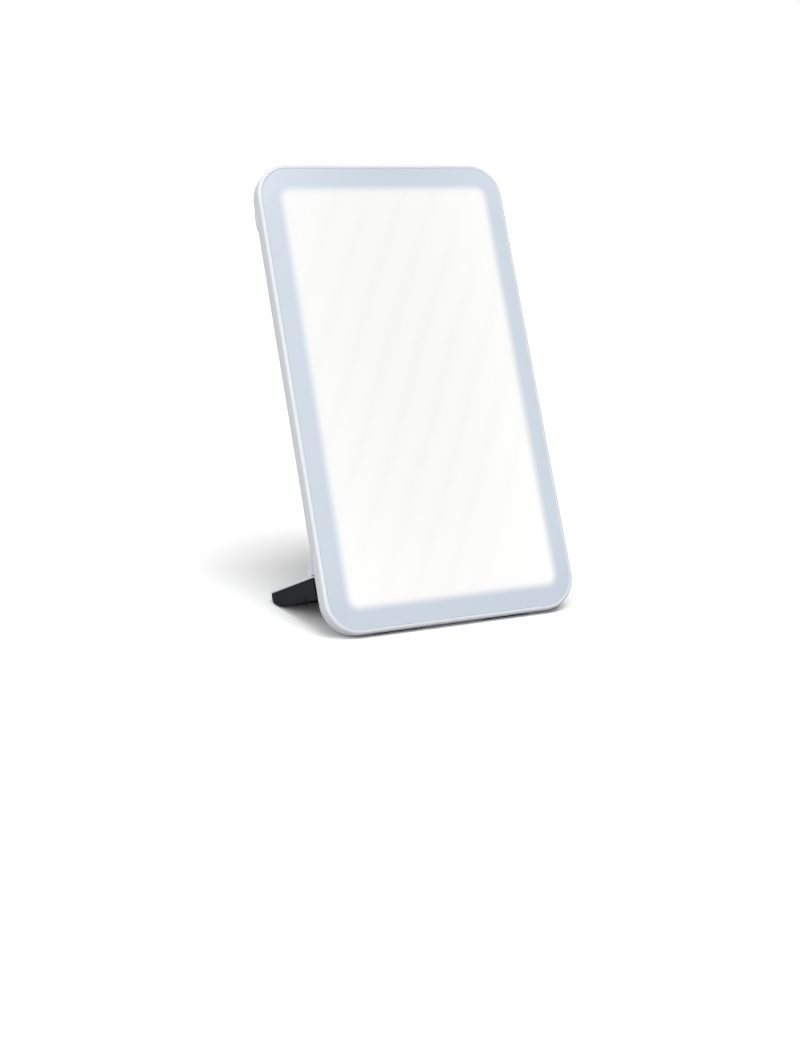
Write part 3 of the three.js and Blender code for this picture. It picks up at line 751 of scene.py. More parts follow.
@dataclass(frozen=True)
class Lit:
    """The opal cover: a lit field with soft edges inside a cooler border that is not lit.

    The field is brightest in its corners and crossed by faint slanted bands. The border carries
    painted shade towards both ends and its right side, and painted light in its top corners.
    """

    name: str = "opal_cover"
    border: tuple[float, float, float] = (0.552, 0.614, 0.681)
    border_ends: tuple[float, float, float] = (0.515, 0.573, 0.643)
    border_top: tuple[float, float, float] = (0.58, 0.643, 0.718)
    border_tilt: float = 0.025
    ends_reach: tuple[float, float] = (0.5, 1.1)
    top_reach: tuple[float, float] = (0.7, 1.1)
    top_middle: float = 0.2
    tilt_reach: tuple[float, float] = (-1.1, 1.1)
    field_colour: tuple[float, float, float] = (0.482, 0.476, 0.472)
    glow: float = 0.372
    level_top: float = 1.35
    width: float = 171.5
    height: float = 319.4
    centre_x: float = 1.25
    centre_z: float = 178.6
    corner: float = 8.0
    edge_from: float = -4.2
    edge_to: float = 3.8
    tail_to: float = 11.0
    tail_share: float = 0.12
    band_angle: float = math.radians(26.7)
    band_pitch: float = 24.5
    waver: float = 5.0
    waver_size: float = 90.0
    band_share: float = 0.03
    band_overtone: float = 0.29
    side_gain: float = 0.12
    end_gain: float = 0.05
    side_tilt: float = 0.035
    end_tilt: float = 0.06
    roughness: float = 0.32
    roughness_drift: float = 0.04
    grain_size: float = 0.25
    grain_depth: float = 0.004

    def material(self, stance: Stance) -> Material:
        """Makes the finish.

        Args:
            stance: How the panel stands.

        Returns:
            The material.
        """
        recipe = Finish(self.name, stance)
        place = recipe.place(Pattern.PANEL)
        axes = recipe.node("ShaderNodeSeparateXYZ", None, {0: place})
        across, up = (Value(recipe, axes.outputs[name]) - middle
                      for name, middle in (("X", self.centre_x), ("Z", self.centre_z)))
        depth = self._depth(across, up)
        core = depth.step(self.edge_from, self.edge_to)
        tail = depth.step(self.edge_from, self.tail_to)
        lit = core * (1 - self.tail_share) + tail * self.tail_share
        side, end = across / (self.width / 2), up / (self.height / 2)
        inward = 1 - (side.squared() + end.squared()) / 2
        slant = across * math.cos(self.band_angle) - up * math.sin(self.band_angle)
        waver = recipe.noise(place, self.waver_size, detail=1.0, seed=7.0) * self.waver
        # The overtone is a cosine of twice the bands' angle
        wave = ((slant + waver) * (math.tau / self.band_pitch)).sine()
        overtone = (0.5 - wave.squared()) * (2 * self.band_overtone)
        band = (wave + overtone) * inward * self.band_share
        swell = side.squared() * self.side_gain + end.squared() * self.end_gain
        level = 1 + swell + side * self.side_tilt - end * self.end_tilt + band
        # Painted shade darkens the border towards both ends, and painted light brightens its top corners
        edge = recipe.blend(end.squared().step(*self.ends_reach), rgba(self.border), rgba(self.border_ends))
        crown = (side.squared() * (1 - self.top_middle) + self.top_middle) * end.step(*self.top_reach)
        edge = recipe.blend(crown, edge, rgba(self.border_top))
        # Painted shade: the border darkens towards its right side
        shaded_border = recipe.blend(side.step(*self.tilt_reach) * self.border_tilt, edge, BLACK)
        fine = recipe.noise(place, self.grain_size, seed=3.0)
        return recipe.finished({
            "Base Color": recipe.blend(lit, shaded_border, rgba(self.field_colour)),
            "Emission Color": recipe.blend(lit * level / self.level_top, BLACK, WHITE),
            "Emission Strength": self.glow * self.level_top,
            "Roughness": self.roughness + (fine - 0.5) * self.roughness_drift,
            "Normal": recipe.bump(fine, self.grain_depth),
        })

    def _depth(self, across: Value, up: Value) -> Value:
        """How far inside the lit field's rounded outline a point lies, below 0 outside it.

        Args:
            across: How far the point is from the field's middle, along x.
            up: The same along z.

        Returns:
            The distance.
        """
        beyond_x = abs(across) - (self.width / 2 - self.corner)
        beyond_z = abs(up) - (self.height / 2 - self.corner)
        round_part = (beyond_x.most(0.0).squared() + beyond_z.most(0.0).squared()).root()
        return self.corner - round_part - beyond_x.most(beyond_z).least(0.0)


@dataclass(frozen=True)
class Metal:
    """Bare metal with fine drawn lines along one axis."""

    name: str
    colour: tuple[float, float, float]
    roughness: float
    line_size: tuple[float, float, float] = (0.12, 8.0, 8.0)
    line_depth: float = 0.004
    line_share: float = 0.6
    cloud_size: float = 12.0
    tone: float = 0.12
    roughness_drift: float = 0.12

    def material(self, stance: Stance) -> Material:
        """Makes the finish.

        Args:
            stance: How the panel stands.

        Returns:
            The material.
        """
        recipe = Finish(self.name, stance)
        place = recipe.place(Pattern.PANEL)
        drawn = recipe.out("ShaderNodeMapping", {"vector_type": "POINT"}, {
            "Vector": place, "Scale": tuple(1 / size for size in self.line_size),
        })
        lines = recipe.noise(drawn, 1.0, detail=3.0, seed=1.0)
        cloud = recipe.noise(place, self.cloud_size, seed=4.0)
        dark = [part * (1 - self.tone) for part in self.colour]
        return recipe.finished({
            "Base Color": recipe.blend(
                lines * self.line_share + cloud * (1 - self.line_share), rgba(dark), rgba(self.colour)
            ),
            "Metallic": 1.0,
            "Roughness": self.roughness + (cloud - 0.5) * self.roughness_drift,
            "Normal": recipe.bump(lines, self.line_depth),
        })


@dataclass(frozen=True)
class Board:
    """A circuit board: solder mask over a faint grid of copper tracks."""

    name: str
    mask: tuple[float, float, float]
    track: tuple[float, float, float]
    pitch: float = 2.5
    track_width: float = 0.08
    pad_length: float = 2.2
    pad_width: float = 0.7
    copper_size: float = 4.0
    copper_reach: tuple[float, float] = (0.55, 0.65)
    relief: float = 0.02
    roughness: float = 0.4
    roughness_drift: float = 0.1
    smudge_size: float = 1.5

    def material(self, stance: Stance) -> Material:
        """Makes the finish.

        Args:
            stance: How the panel stands.

        Returns:
            The material.
        """
        recipe = Finish(self.name, stance)
        place = recipe.place(Pattern.PANEL)
        tracks = recipe.out("ShaderNodeTexBrick", {"offset_frequency": 3}, {
            "Vector": place, "Scale": 1 / self.pitch, "Mortar Size": self.track_width, "Color1": BLACK,
            "Color2": BLACK, "Mortar": WHITE, "Brick Width": self.pad_length, "Row Height": self.pad_width,
        })
        spots = recipe.noise(place, self.copper_size, seed=6.0).step(*self.copper_reach)
        return recipe.finished({
            "Base Color": recipe.blend(tracks * spots, rgba(self.mask), rgba(self.track)),
            "Roughness": self.roughness + recipe.noise(place, self.smudge_size) * self.roughness_drift,
            "Normal": recipe.bump(tracks, self.relief),
        })


@dataclass(frozen=True)
class Clear:
    """Clear acrylic sheet with a fine dot print that passes light."""

    name: str
    tint: tuple[float, float, float] = (0.93, 0.96, 0.97)
    dots_per_mm: float = 0.6
    dot_stray: float = 0.1
    dot_reach: tuple[float, float] = (0.2, 0.3)
    polish: float = 0.05
    print_roughness: float = 0.4
    clearness: float = 0.9
    index: float = 1.49

    def material(self, stance: Stance) -> Material:
        """Makes the finish.

        Args:
            stance: How the panel stands.

        Returns:
            The material.
        """
        recipe = Finish(self.name, stance)
        place = recipe.place(Pattern.PANEL)
        dots = recipe.out("ShaderNodeTexVoronoi", {"feature": "F1"}, {
            "Vector": place, "Scale": self.dots_per_mm, "Randomness": self.dot_stray,
        }).step(*self.dot_reach)
        return recipe.finished({
            "Base Color": recipe.blend(dots, WHITE, rgba(self.tint)),
            "Roughness": self.polish + (1 - dots) * self.print_roughness,
            "Transmission Weight": self.clearness,
            "IOR": self.index,
        })


class Palette:
    """Every finish of the lamp, made when it is first asked for."""

    FINISHES: dict[str, Moulded | Lit | Metal | Board | Clear] = {
        "white_shell": Moulded("white_shell", (0.69, 0.715, 0.755), 0.45, specular=0.25, drift=0.02),
        "opal_acrylic": Lit(),
        "clear_acrylic": Clear("clear_acrylic"),
        "white_film": Moulded("white_film", (0.86, 0.87, 0.87), 0.6, grain_size=0.15, grain_depth=0.005),
        "charcoal_shell": Moulded(
            "charcoal_shell", (0.0095, 0.0115, 0.0135), 0.6, grain_size=0.45, grain_depth=0.06, drift=0.12,
            specular=0.03,
        ),
        "pad_rubber": Moulded(
            "pad_rubber", (0.05, 0.052, 0.055), 0.8, grain_size=0.6, grain_depth=0.08, drift=0.15,
            specular=0.35,
        ),
        "sheet_aluminium": Metal("sheet_aluminium", (0.72, 0.73, 0.75), 0.38),
        "screw_steel": Metal("screw_steel", (0.56, 0.57, 0.58), 0.3, line_size=(1.5, 0.15, 1.5)),
        "white_board": Board("white_board", (0.82, 0.83, 0.81), (0.88, 0.88, 0.85)),
        "green_board": Board("green_board", (0.012, 0.10, 0.045), (0.03, 0.19, 0.08)),
        "black_plastic": Moulded("black_plastic", (0.012, 0.012, 0.014), 0.42, drift=0.1),
        "lead_jacket": Moulded("lead_jacket", (0.66, 0.67, 0.69), 0.5, grain_size=0.8),
        "plug_plastic": Moulded("plug_plastic", (0.74, 0.71, 0.62), 0.45),
    }

    def __init__(self, stance: Stance) -> None:
        """Opens the palette.

        Args:
            stance: How the panel stands.
        """
        self.stance = stance
        self.made: dict[str, Material] = {}

    def of(self, slot: str) -> Material:
        """The finish for a material slot.

        Args:
            slot: The record's slot name.

        Returns:
            The material.
        """
        if slot not in self.made:
            self.made[slot] = self.FINISHES[slot].material(self.stance)
        return self.made[slot]


# The lamp's sizes and its stance


@dataclass(frozen=True)
class Panel:
    """The panel's outline and section."""

    width: float = 206.0
    height: float = 358.0
    depth: float = 18.5
    corner: float = 26.0
    front_edge: float = 2.2
    rear_edge: float = 8.5
    part_line: float = 10.0
    part_gap: float = 0.4
    lip: float = 3.0
    cover_recess: float = 0.3
    cover_thickness: float = 2.0
    lean: float = math.radians(23)

    def loop(self, inset: float, depths: tuple[float, float]) -> BMesh:
        """A slab that follows the case outline.

        Args:
            inset: How far inside the outline it lies.
            depths: Its front and back.

        Returns:
            A closed mesh.
        """
        return slab(
            self.width - 2 * inset, self.height - 2 * inset, self.corner - inset, inset, depths
        )

    def ring(self, section: Sequence[tuple[float, float]]) -> BMesh:
        """A ring that follows the case outline.

        Args:
            section: The corners of its section in order, each an inset and a depth.

        Returns:
            A closed mesh.
        """
        mold = round_plate(self.width, self.height, self.corner, 0)
        bmesh.ops.delete(mold, geom=mold.faces[:], context="FACES_ONLY")
        loop = mold.edges[:]
        self._settle(mold.verts, *section[0])
        for inset, depth in [*section[1:], section[0]]:
            made = bmesh.ops.extrude_edge_only(mold, edges=loop)["geom"]
            loop = [part for part in made if isinstance(part, BMEdge)]
            self._settle((part for part in made if isinstance(part, BMVert)), inset, depth)
        return closed(mold)

    def _settle(self, corners: Iterable[BMVert], inset: float, depth: float) -> None:
        """Moves the corners of an outline towards the centres of its round corners.

        Args:
            corners: The outline's corners, all of them on its round stretches.
            inset: How far inside the case outline they go.
            depth: How deep they go.
        """
        half, tall = self.width / 2 - self.corner, self.height / 2 - self.corner
        for vertex in corners:
            across, up = vertex.co.x, vertex.co.z - self.height / 2
            centre = Vector((math.copysign(half, across), 0, math.copysign(tall, up)))
            spoke = (Vector((across, 0, up)) - centre).normalized() * (self.corner - inset)
            vertex.co = centre + spoke + Vector((0, depth, self.height / 2))

    def inset_at(self, place: Vector) -> float:
        """How far inside the case outline a point lies.

        Args:
            place: The point.

        Returns:
            The distance to the outline, below 0 outside it.
        """
        beyond_x = abs(place.x) - (self.width / 2 - self.corner)
        beyond_z = abs(place.z - self.height / 2) - (self.height / 2 - self.corner)
        corner = math.hypot(max(beyond_x, 0), max(beyond_z, 0))
        return self.corner - corner - min(max(beyond_x, beyond_z), 0)


@dataclass(frozen=True)
class Stance:
    """How the upright panel frame, in millimetres, stands in the lamp's frame, in metres."""

    lean: float
    origin: tuple[float, float, float]

    @classmethod
    def of_frame(cls, panel: Panel) -> Stance:
        """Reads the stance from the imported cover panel.

        Args:
            panel: The panel's sizes.

        Returns:
            The stance.
        """
        low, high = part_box("diffuser_panel")
        rear = panel.cover_recess + panel.cover_thickness
        sine, cosine = math.sin(panel.lean), math.cos(panel.lean)
        return cls(panel.lean, (
            (low.x + high.x) / 2,
            low.y - (panel.cover_recess * cosine + panel.lip * sine) * MM,
            low.z - (panel.lip * cosine - rear * sine) * MM,
        ))

    @property
    def matrix(self) -> Matrix:
        """Takes a point of the panel frame to the lamp's frame.

        Returns:
            The way there.
        """
        return (
            Matrix.Translation(self.origin) @ Matrix.Rotation(-self.lean, 4, "X") @ Matrix.Scale(MM, 4)
        )

    def node_block(self, node: str, grow: float) -> BMesh:
        """A box round a node that is square to the floor.

        Args:
            node: The node's name.
            grow: How far the box stands off it, in millimetres.

        Returns:
            A closed mesh in the panel frame.
        """
        low, high = (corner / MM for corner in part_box(node))
        mold = block(*((low[axis] - grow, high[axis] + grow) for axis in range(3)))
        world = self.matrix.inverted() @ Matrix.Scale(MM, 4)
        return moved(mold, world)


@dataclass
class Workshop:
    """Turns finished meshes into pieces that ride on the frame."""

    stance: Stance
    palette: Palette
    made: list[str] = field(default_factory=list)

    def piece(self, mold: BMesh, name: str, body: Body, slot: str, *nodes: str) -> None:
        """Finishes a mesh as a piece.

        Args:
            mold: The mesh in the panel frame, which is used up.
            name: The piece's name.
            body: The body it moves with.
            slot: The record's slot that it takes its finish from.
            nodes: The nodes that it stands for.
        """
        item = as_object(moved(mold, self.stance.matrix), name)
        item.data.shade_smooth()
        item.data.set_sharp_from_angle(angle=SMOOTH_ANGLE)
        even = item.modifiers.new("even_shading", "WEIGHTED_NORMAL")
        even.keep_sharp = True
        item.data.materials.append(self.palette.of(slot))
        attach(item, body.value)
        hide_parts(*nodes)
        self.made.append(name)
        LOG.info("%s rides on %s with %d faces", name, body.value, len(item.data.polygons))


# Sub-assemblies


@dataclass
class Front:
    """The front frame and the opal cover."""

    panel: Panel
    seam: float = 0.1
    cover_rise: float = 0.2
    cover_edge: float = 0.15
    lip_edge: float = 0.3
    rear_edge: float = 0.25
    ledge_width: float = 6.0
    ledge_depths: tuple[float, float] = (2.6, 3.6)
    tongue_insets: tuple[float, float] = (2.8, 4.0)
    tongue_depths: tuple[float, float] = (8.8, 12.0)

    def build(self, shop: Workshop) -> None:
        """Makes both pieces.

        Args:
            shop: Finishes them.
        """
        shop.piece(self._frame(), "case_front_rim", Body.CASE, "white_shell", "front_frame")
        shop.piece(self._cover(), "opal_cover", Body.CASE, "opal_acrylic", "diffuser_panel")

    def _frame(self) -> BMesh:
        """The rim with its rounded lip, the ledge behind the cover and the tongue in the part line.

        Returns:
            A closed mesh.
        """
        panel = self.panel
        wall = panel.lip - self.seam
        line, near, ledge_inside = panel.part_line, wall / 2, wall + self.ledge_width
        ledge_front, ledge_back = self.ledge_depths
        tongue_outside, tongue_inside = self.tongue_insets
        web_front, tongue_back = self.tongue_depths
        rim = panel.ring([
            (0, 0), (0, line), (tongue_outside, line), (tongue_outside, tongue_back),
            (tongue_inside, tongue_back), (tongue_inside, web_front), (wall, web_front), (wall, ledge_back),
            (ledge_inside, ledge_back), (ledge_inside, ledge_front), (wall, ledge_front), (wall, 0),
        ])
        rounded_where(rim, lambda at: at.y < TINY and panel.inset_at(at) < near, panel.front_edge)
        rounded_where(
            rim, lambda at: at.y < TINY and panel.inset_at(at) > wall - TINY, self.lip_edge, SMALL_STEPS
        )
        return rounded_where(
            rim, lambda at: abs(at.y - line) < TINY and panel.inset_at(at) < near, self.rear_edge, LEAST_STEPS
        )

    def _cover(self) -> BMesh:
        """The opal cover, with a small round on its front edge.

        Returns:
            A closed mesh.
        """
        panel = self.panel
        front, back = panel.cover_recess - self.cover_rise, panel.cover_recess + panel.cover_thickness
        mold = panel.loop(panel.lip, (front, back))
        return rounded_where(mold, lambda at: at.y < front + TINY, self.cover_edge, SMALL_STEPS)


@dataclass
class Screws:
    """Pan-head screws with a cross recess, and the holes that they sit in."""

    head: float = 2.1
    head_height: float = 1.2
    shank: float = 1.0
    cross_span: float = 2.5
    cross_width: float = 0.62
    cross_depth: float = 0.75
    cross_taper: tuple[float, float] = (0.55, 0.6)
    dome: float = 0.45
    underside_ease: float = 0.05

    def mold(self, place: Matrix, length: float) -> BMesh:
        """One screw.

        Args:
            place: Where the underside of its head goes, with +y out of the work.
            length: The length of its shank.

        Returns:
            A closed mesh.
        """
        top, side = self.head_height, self.head_height - self.dome
        arc = [
            (self.head * math.sin(turn), side + self.dome * math.cos(turn))
            for turn in (math.pi / 2 * step / EDGE_STEPS for step in range(EDGE_STEPS, -1, -1))
        ]
        tip = self.shank / 2
        profile = [(0, -length), (tip, -length), (self.shank, tip - length), (self.shank, 0),
                   (self.head - self.underside_ease, 0), *arc[:-1], (0, top)]
        cut = [self._slot(turn) for turn in (0, math.pi / 2)]
        return moved(worked(turned(profile, Matrix.Identity(4)), cut, Join.CUT), place)

    def seat(self, place: Matrix, gap: float, sink: float, flare: float, reach: float) -> BMesh:
        """The space for a screw: a counterbore with a chamfered mouth and the hole for its shank.

        Args:
            place: Where the mouth goes, with the hole running along -y from it.
            gap: The room round the screw.
            sink: How deep the counterbore is.
            flare: The mouth's chamfer.
            reach: How deep the hole is.

        Returns:
            A closed mesh.
        """
        radius, shank = self.head + gap, self.shank + gap
        profile = [(0, -reach), (shank, -reach), (shank, -sink), (radius, -sink), (radius, -flare / 2),
                   (radius + flare, flare / 2), (0, flare / 2)]
        return turned(profile, place)

    def _slot(self, turn: float) -> BMesh:
        """One arm of the cross, which narrows as it goes down.

        Args:
            turn: Its angle about the screw.

        Returns:
            A closed mesh.
        """
        span, half = self.cross_span / 2, self.cross_width / 2
        arm = block((-span, span), (self.head_height - self.cross_depth, self.head_height * 2), (-half, half))
        for vertex in arm.verts:
            if vertex.co.y < self.head_height:
                vertex.co.x *= self.cross_taper[0]
                vertex.co.z *= self.cross_taper[1]
        bmesh.ops.rotate(arm, cent=(0, 0, 0), matrix=Matrix.Rotation(turn, 3, "Y"), verts=arm.verts[:])
        return arm


@dataclass
class Rear:
    """The rear cover with its screws, pads and power inlet."""

    panel: Panel
    screws: Screws
    hinge: Hinge
    button: Button
    wall: float = 2.1
    end_screw: tuple[float, float] = (92.5, 21.5)
    middle_screw_x: float = 94.2
    screw_sink: float = 1.6
    screw_turn: float = math.radians(37)
    seat_gap: float = 0.3
    seat_reach: float = 6.0
    screw_length: float = 8.0
    socket_height: float = 176.0
    socket_radius: float = 4.0
    socket_bore: float = 2.75
    socket_pin: float = 1.0
    socket_back: float = 12.4
    socket_floor: float = 0.9
    pin_setback: float = 1.0
    mouth_flare: float = 0.5
    pad_edge: float = 0.3

    def build(self, shop: Workshop) -> None:
        """Makes the cover and what sits in it.

        Args:
            shop: Finishes the pieces.
        """
        shop.piece(self._cover(shop.stance), "case_rear_cover", Body.CASE, "white_shell", "rear_cover")
        for number, (x, z) in enumerate(self._screw_places(), 1):
            seat = Matrix.Translation((x, self.panel.depth - self.screw_sink + self.seat_gap, z))
            turn = Matrix.Rotation(number * self.screw_turn, 4, "Y")
            screw = self.screws.mold(seat @ turn, self.screw_length)
            shop.piece(screw, f"case_screw_head_{number}", Body.CASE, "screw_steel", f"case_screw_{number}")
        for side in Side:
            pad = shop.stance.node_block(f"base_pad_{side.word}", 0)
            rounded(pad, pad.edges[:], self.pad_edge, LEAST_STEPS)
            shop.piece(pad, f"base_rubber_{side.word}", Body.CASE, "pad_rubber", f"base_pad_{side.word}")
        shop.piece(self._socket(), "power_inlet", Body.CASE, "black_plastic", "power_socket")

    def _screw_places(self) -> list[tuple[float, float]]:
        """Where the case screws go: x and z, left side first, from the bottom up.

        Returns:
            The places.
        """
        x, low = self.end_screw
        return [
            place for side in Side for place in (
                (side.value * x, low),
                (side.value * self.middle_screw_x, self.panel.height / 2),
                (side.value * x, self.panel.height - low),
            )
        ]

    def _cover(self, stance: Stance) -> BMesh:
        """The curved shell with its seats, knuckles and openings.

        Args:
            stance: Says where the pads lie in the panel frame.

        Returns:
            A closed mesh.
        """
        panel = self.panel
        front = panel.part_line + panel.part_gap
        shell = panel.loop(0, (front, panel.depth))
        rounded_where(shell, lambda at: at.y > panel.depth - TINY,
                      panel.rear_edge - panel.part_gap - TINY, CORNER_STEPS)
        floor = panel.depth - self.wall
        hollow = panel.loop(self.wall, (front - OVERRUN, floor))
        rounded_where(hollow, lambda at: at.y > floor - TINY, panel.rear_edge - self.wall, CORNER_STEPS // 2)
        shell = worked(shell, [hollow], Join.CUT)
        shell = worked(shell, [self.hinge.case_knuckle(side) for side in Side], Join.ADD)
        cutters = [
            self.screws.seat(Matrix.Translation((x, panel.depth, z)), self.seat_gap, self.screw_sink,
                             self.mouth_flare, self.seat_reach)
            for x, z in self._screw_places()
        ]
        cutters.append(self._socket_hole())
        cutters.extend(self.hinge.pin_hole(side) for side in Side)
        cutters.extend(stance.node_block(f"base_pad_{side.word}", self.seat_gap) for side in Side)
        cutters.append(self.button.opening())
        return worked(shell, cutters, Join.CUT)

    def _socket_hole(self) -> BMesh:
        """The round hole for the power inlet, with a chamfered mouth.

        Returns:
            A closed mesh.
        """
        radius, back, ease = self.socket_radius + self.seat_gap, self.panel.depth, self.mouth_flare / 2
        start = back - self.wall - OVERRUN
        profile = [(0, start), (radius, start), (radius, back - ease), (radius + 2 * ease, back + ease),
                   (0, back + ease)]
        return turned(profile, Matrix.Translation((0, 0, self.socket_height)))

    def _socket(self) -> BMesh:
        """The power inlet: a barrel with a lip round its bore and a pin in the middle.

        Returns:
            A closed mesh.
        """
        mouth, back = self.panel.depth - self.seat_gap, self.socket_back
        bottom, lip, radius, bore, pin = (
            back + self.socket_floor, self.mouth_flare / 2, self.socket_radius, self.socket_bore,
            self.socket_pin,
        )
        tip = mouth - self.pin_setback
        profile = [
            (0, back), (radius - lip, back), (radius, back + lip), (radius, mouth - lip),
            (radius - lip, mouth), (bore + lip, mouth), (bore, mouth - lip), (bore, bottom),
            (pin, bottom), (pin, tip - lip), (pin - lip, tip), (0, tip),
        ]
        return turned(profile, Matrix.Translation((0, 0, self.socket_height)))


@dataclass
class Button:
    """The power button in the left shoulder of the case."""

    panel: Panel
    length: float = 13.0
    width: float = 3.8
    proud: float = 0.2
    cap_depth: float = 4.5
    setback: float = 0.5
    centre_height: float = 317.5
    crown: float = 0.5
    gap: float = 0.35
    flange: tuple[float, float, float] = (0.9, 3.2, 17.0)
    flange_steps: int = 2
    small_edge: float = 0.2
    stem_radius: float = 1.2
    stem_length: float = 1.1

    @property
    def centre_depth(self) -> float:
        """The depth of the button's middle."""
        return self.panel.part_line + self.setback + self.width / 2

    def _stadium(self, grow: float, depths: tuple[float, float]) -> BMesh:
        """A stadium-shaped bar along x, grown all round.

        Args:
            grow: How much larger than the button it is.
            depths: Its ends along x.

        Returns:
            A closed mesh.
        """
        half = self.width / 2 + grow
        bar = slab(2 * half, self.length + 2 * grow, half - TINY, 0, depths)
        face = Matrix.Translation((0, self.centre_depth, self.centre_height - self.length / 2 - grow))
        return moved(bar, face @ ALONG_X)

    def build(self, shop: Workshop) -> None:
        """Makes the button.

        Args:
            shop: Finishes it.
        """
        face = -(self.panel.width / 2 + self.proud)
        cap = self._stadium(0, (face, face + self.cap_depth))
        rounded_where(cap, lambda at: at.x < face + TINY, self.crown, SMALL_STEPS)
        thick, deep, tall = self.flange
        back = face + self.cap_depth
        flange = block((back - TINY, back + thick),
                       (self.centre_depth - deep / 2, self.centre_depth + deep / 2),
                       (self.centre_height - tall / 2, self.centre_height + tall / 2))
        rounded(flange, flange.edges[:], self.small_edge, self.flange_steps)
        end = back + thick + self.stem_length
        place = Matrix.Translation((0, self.centre_depth, self.centre_height))
        radius, edge = self.stem_radius, self.small_edge
        profile = [(0, back), (radius, back), (radius, end - edge), (radius - edge, end), (0, end)]
        stem = turned(profile, place @ ALONG_X)
        cap = worked(cap, [flange, stem], Join.ADD)
        shop.piece(cap, "power_button_cap", Body.BUTTON, "white_shell", "power_button")

    def opening(self) -> BMesh:
        """The button's opening in the rear cover, open towards the part line.

        Returns:
            A closed mesh.
        """
        side, reach = -self.panel.width / 2, self.length / 2 + self.gap
        span = (side - OVERRUN, side + self.panel.rear_edge)
        hole = self._stadium(self.gap, span)
        mouth = block(span, (self.panel.part_line, self.centre_depth),
                      (self.centre_height - reach, self.centre_height + reach))
        return worked(hole, [mouth], Join.ADD)


@dataclass
class FootSizes:
    """The foot's section: its top slopes up a little, and its last part lies along the floor."""

    floor: float
    lean: float
    half_width: float = 101.8
    root: float = 18.9
    root_bottom: float = 31.5
    root_top: float = 48.4
    slope_from: float = 18.5
    top_slope: float = 0.035
    knee_setback: float = 27.4
    knee_blend: float = 3.2
    nose_height: float = 2.6
    corner: float = 22.0
    top_thickness: float = 1.3
    gap: float = 0.3

    def top(self, depth: float) -> float:
        """The height of the foot's top at a depth."""
        return self.root_top + (depth - self.slope_from) * self.top_slope

    def sole_top(self, depth: float) -> float:
        """The height of the sole's top at a depth."""
        return self.top(depth) - self.top_thickness - self.gap

    def facet(self, depth: float) -> float:
        """The height of the part of the underside that lies along the floor."""
        return (self.floor + self.gap + depth * math.sin(self.lean)) / math.cos(self.lean)

    @property
    def nose(self) -> float:
        """The depth of the foot's far end."""
        return (self.top(0) - self.facet(0) - self.nose_height) / (math.tan(self.lean) - self.top_slope)

    @property
    def knee(self) -> float:
        """The depth where the underside turns along the floor."""
        return self.nose - self.knee_setback

    def bottom(self, depth: float) -> float:
        """The height of the underside at a depth, with the turn at the knee eased.

        Args:
            depth: How far back the point is.

        Returns:
            The height.
        """
        slope = (self.facet(self.knee) - self.root_bottom) / (self.knee - self.root)
        bend = math.tan(self.lean) - slope
        past = depth - self.knee
        line = self.root_bottom + (depth - self.root) * slope
        if abs(past) < self.knee_blend:
            return line + bend * (past + self.knee_blend) ** 2 / (4 * self.knee_blend)
        return line + bend * max(past, 0)

    def stations(self) -> list[tuple[float, float]]:
        """Depths along the foot with its half width there, down to the flat of its nose.

        Returns:
            Pairs of a depth and a half width, from the root.
        """
        ease = self.knee_blend
        bends = [self.knee + ease * (step / EDGE_STEPS * 2 - 1) for step in range(EDGE_STEPS + 1)]
        turns = [math.pi / 2 * step / CORNER_STEPS for step in range(CORNER_STEPS + 1)]
        return [
            *((depth, self.half_width) for depth in (self.root, *bends)),
            *((self.nose - self.corner * (1 - math.sin(turn)),
               self.half_width - self.corner * (1 - math.cos(turn))) for turn in turns),
        ]


